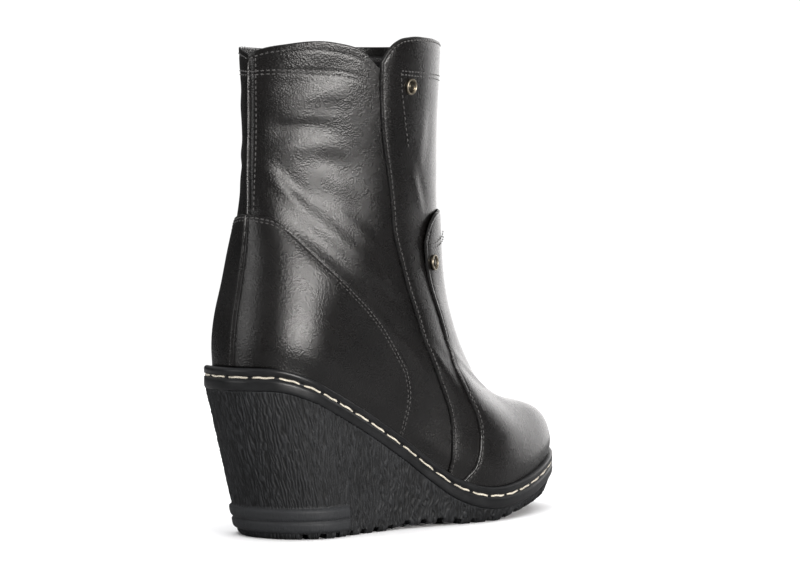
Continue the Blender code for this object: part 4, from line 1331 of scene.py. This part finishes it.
class BootFinish(bpy.types.PropertyGroup):
    """Colours and gloss of the materials."""

    leather_colour: colour("Leather", "Colour of the leather", (0.0034, 0.0030, 0.0029))
    leather_roughness: number("Leather roughness", "Softness of its shine", 0.27, max=1)
    leather_coat: number("Finish coat", "Share of clear finish", 0.1, max=1)
    grain_mm: number("Grain", "Size of the grain in mm", 0.85, 0.1)
    grain_depth: number("Grain depth", "Strength of the grain", 0.5)
    welt_colour: colour("Welt", "Colour of the welt", (0.011, 0.0114, 0.0125))
    rubber_colour: colour("Sole", "Colour of the wedge", (0.020, 0.0212, 0.0235))
    thread_colour: colour("Welt thread", "Colour of the welt's thread", (0.62, 0.57, 0.47))
    brass_colour: colour("Snaps", "Colour of the snap caps", (0.55, 0.48, 0.37))


class BootStage(bpy.types.PropertyGroup):
    """Floor and lights."""

    floor_colour: colour("Floor", "Colour of the floor", (0.93, 0.93, 0.94))
    floor_radius: number("Floor radius", "Radius of the floor", 1.1, 0.5, unit="LENGTH")
    key_light: number("Key light", "Radiance of the key", 22.0)
    fill_light: number("Fill light", "Radiance of the fill", 3.2)
    top_light: number("Top light", "Radiance from above", 2.6)
    far_light: number("Far light", "Radiance from beyond the toe", 2.1)
    room_light: number("Room", "Light from the sides", 0.05)
    sky_light: number("Sky", "Light from overhead", 0.45)
    floor_mirrored: number("Floor in gloss", "Share of the floor that gloss shows", 0.2, max=1)


def operator(idname, label, words, build):
    """Operator class that makes one piece or one group of pieces."""

    def execute(self, context):
        build()
        return {"FINISHED"}

    return type("BOOT_OT_" + idname, (bpy.types.Operator,), {
        "__doc__": words, "bl_idname": "boot." + idname, "bl_label": label, "execute": execute})


OPERATORS = [
    operator("quarters", "Quarters", "Makes the outer leather of the upper", make_quarters),
    operator("lining", "Lining", "Makes the pile lining and its fibres along the collar", make_lining),
    operator("counter", "Counter", "Makes the leather round the heel", make_counter),
    operator("front_panel", "Front panel", "Makes the front panel and its flap", make_front_panel),
    operator("vamp", "Vamp", "Makes the vamp and its flap", make_vamp),
    operator("footbed", "Footbed", "Gives the insole its cloth", make_footbed),
    operator("welt", "Welt", "Makes the welt and its stitches", make_welt),
    operator("sole", "Wedge", "Makes the moulded wedge", make_sole),
    operator("snaps", "Snaps", "Makes the two snap caps", make_snaps),
    operator("stitching", "Stitching", "Makes the stitch rows of the leather", make_stitching),
    operator("stage", "Stage", "Makes the floor, lights and camera", make_stage),
]


class BOOT_PT_panel(bpy.types.Panel):
    """Lists the boot's settings and the operators that build it."""

    bl_idname = "BOOT_PT_panel"
    bl_label = "Ankle boot"
    bl_space_type = "VIEW_3D"
    bl_region_type = "UI"
    bl_category = "Boot"

    def draw(self, context):
        for group in (context.scene.boot_sizes, context.scene.boot_finish, context.scene.boot_stage):
            box = self.layout.box()
            for name in group.__annotations__:
                box.prop(group, name)
        for kind in OPERATORS:
            self.layout.operator(kind.bl_idname)


GROUPS = {"boot_sizes": BootSizes, "boot_finish": BootFinish, "boot_stage": BootStage}


def register():
    for kind in [*GROUPS.values(), *OPERATORS, BOOT_PT_panel]:
        bpy.utils.register_class(kind)
    for name, kind in GROUPS.items():
        setattr(bpy.types.Scene, name, bpy.props.PointerProperty(type=kind))


def unregister():
    for name in GROUPS:
        delattr(bpy.types.Scene, name)
    for kind in [BOOT_PT_panel, *OPERATORS, *GROUPS.values()]:
        bpy.utils.unregister_class(kind)


def main():
    register()
    for kind in OPERATORS:
        getattr(bpy.ops.boot, kind.bl_idname.split(".")[1])()


if __name__ == "__main__":
    main()
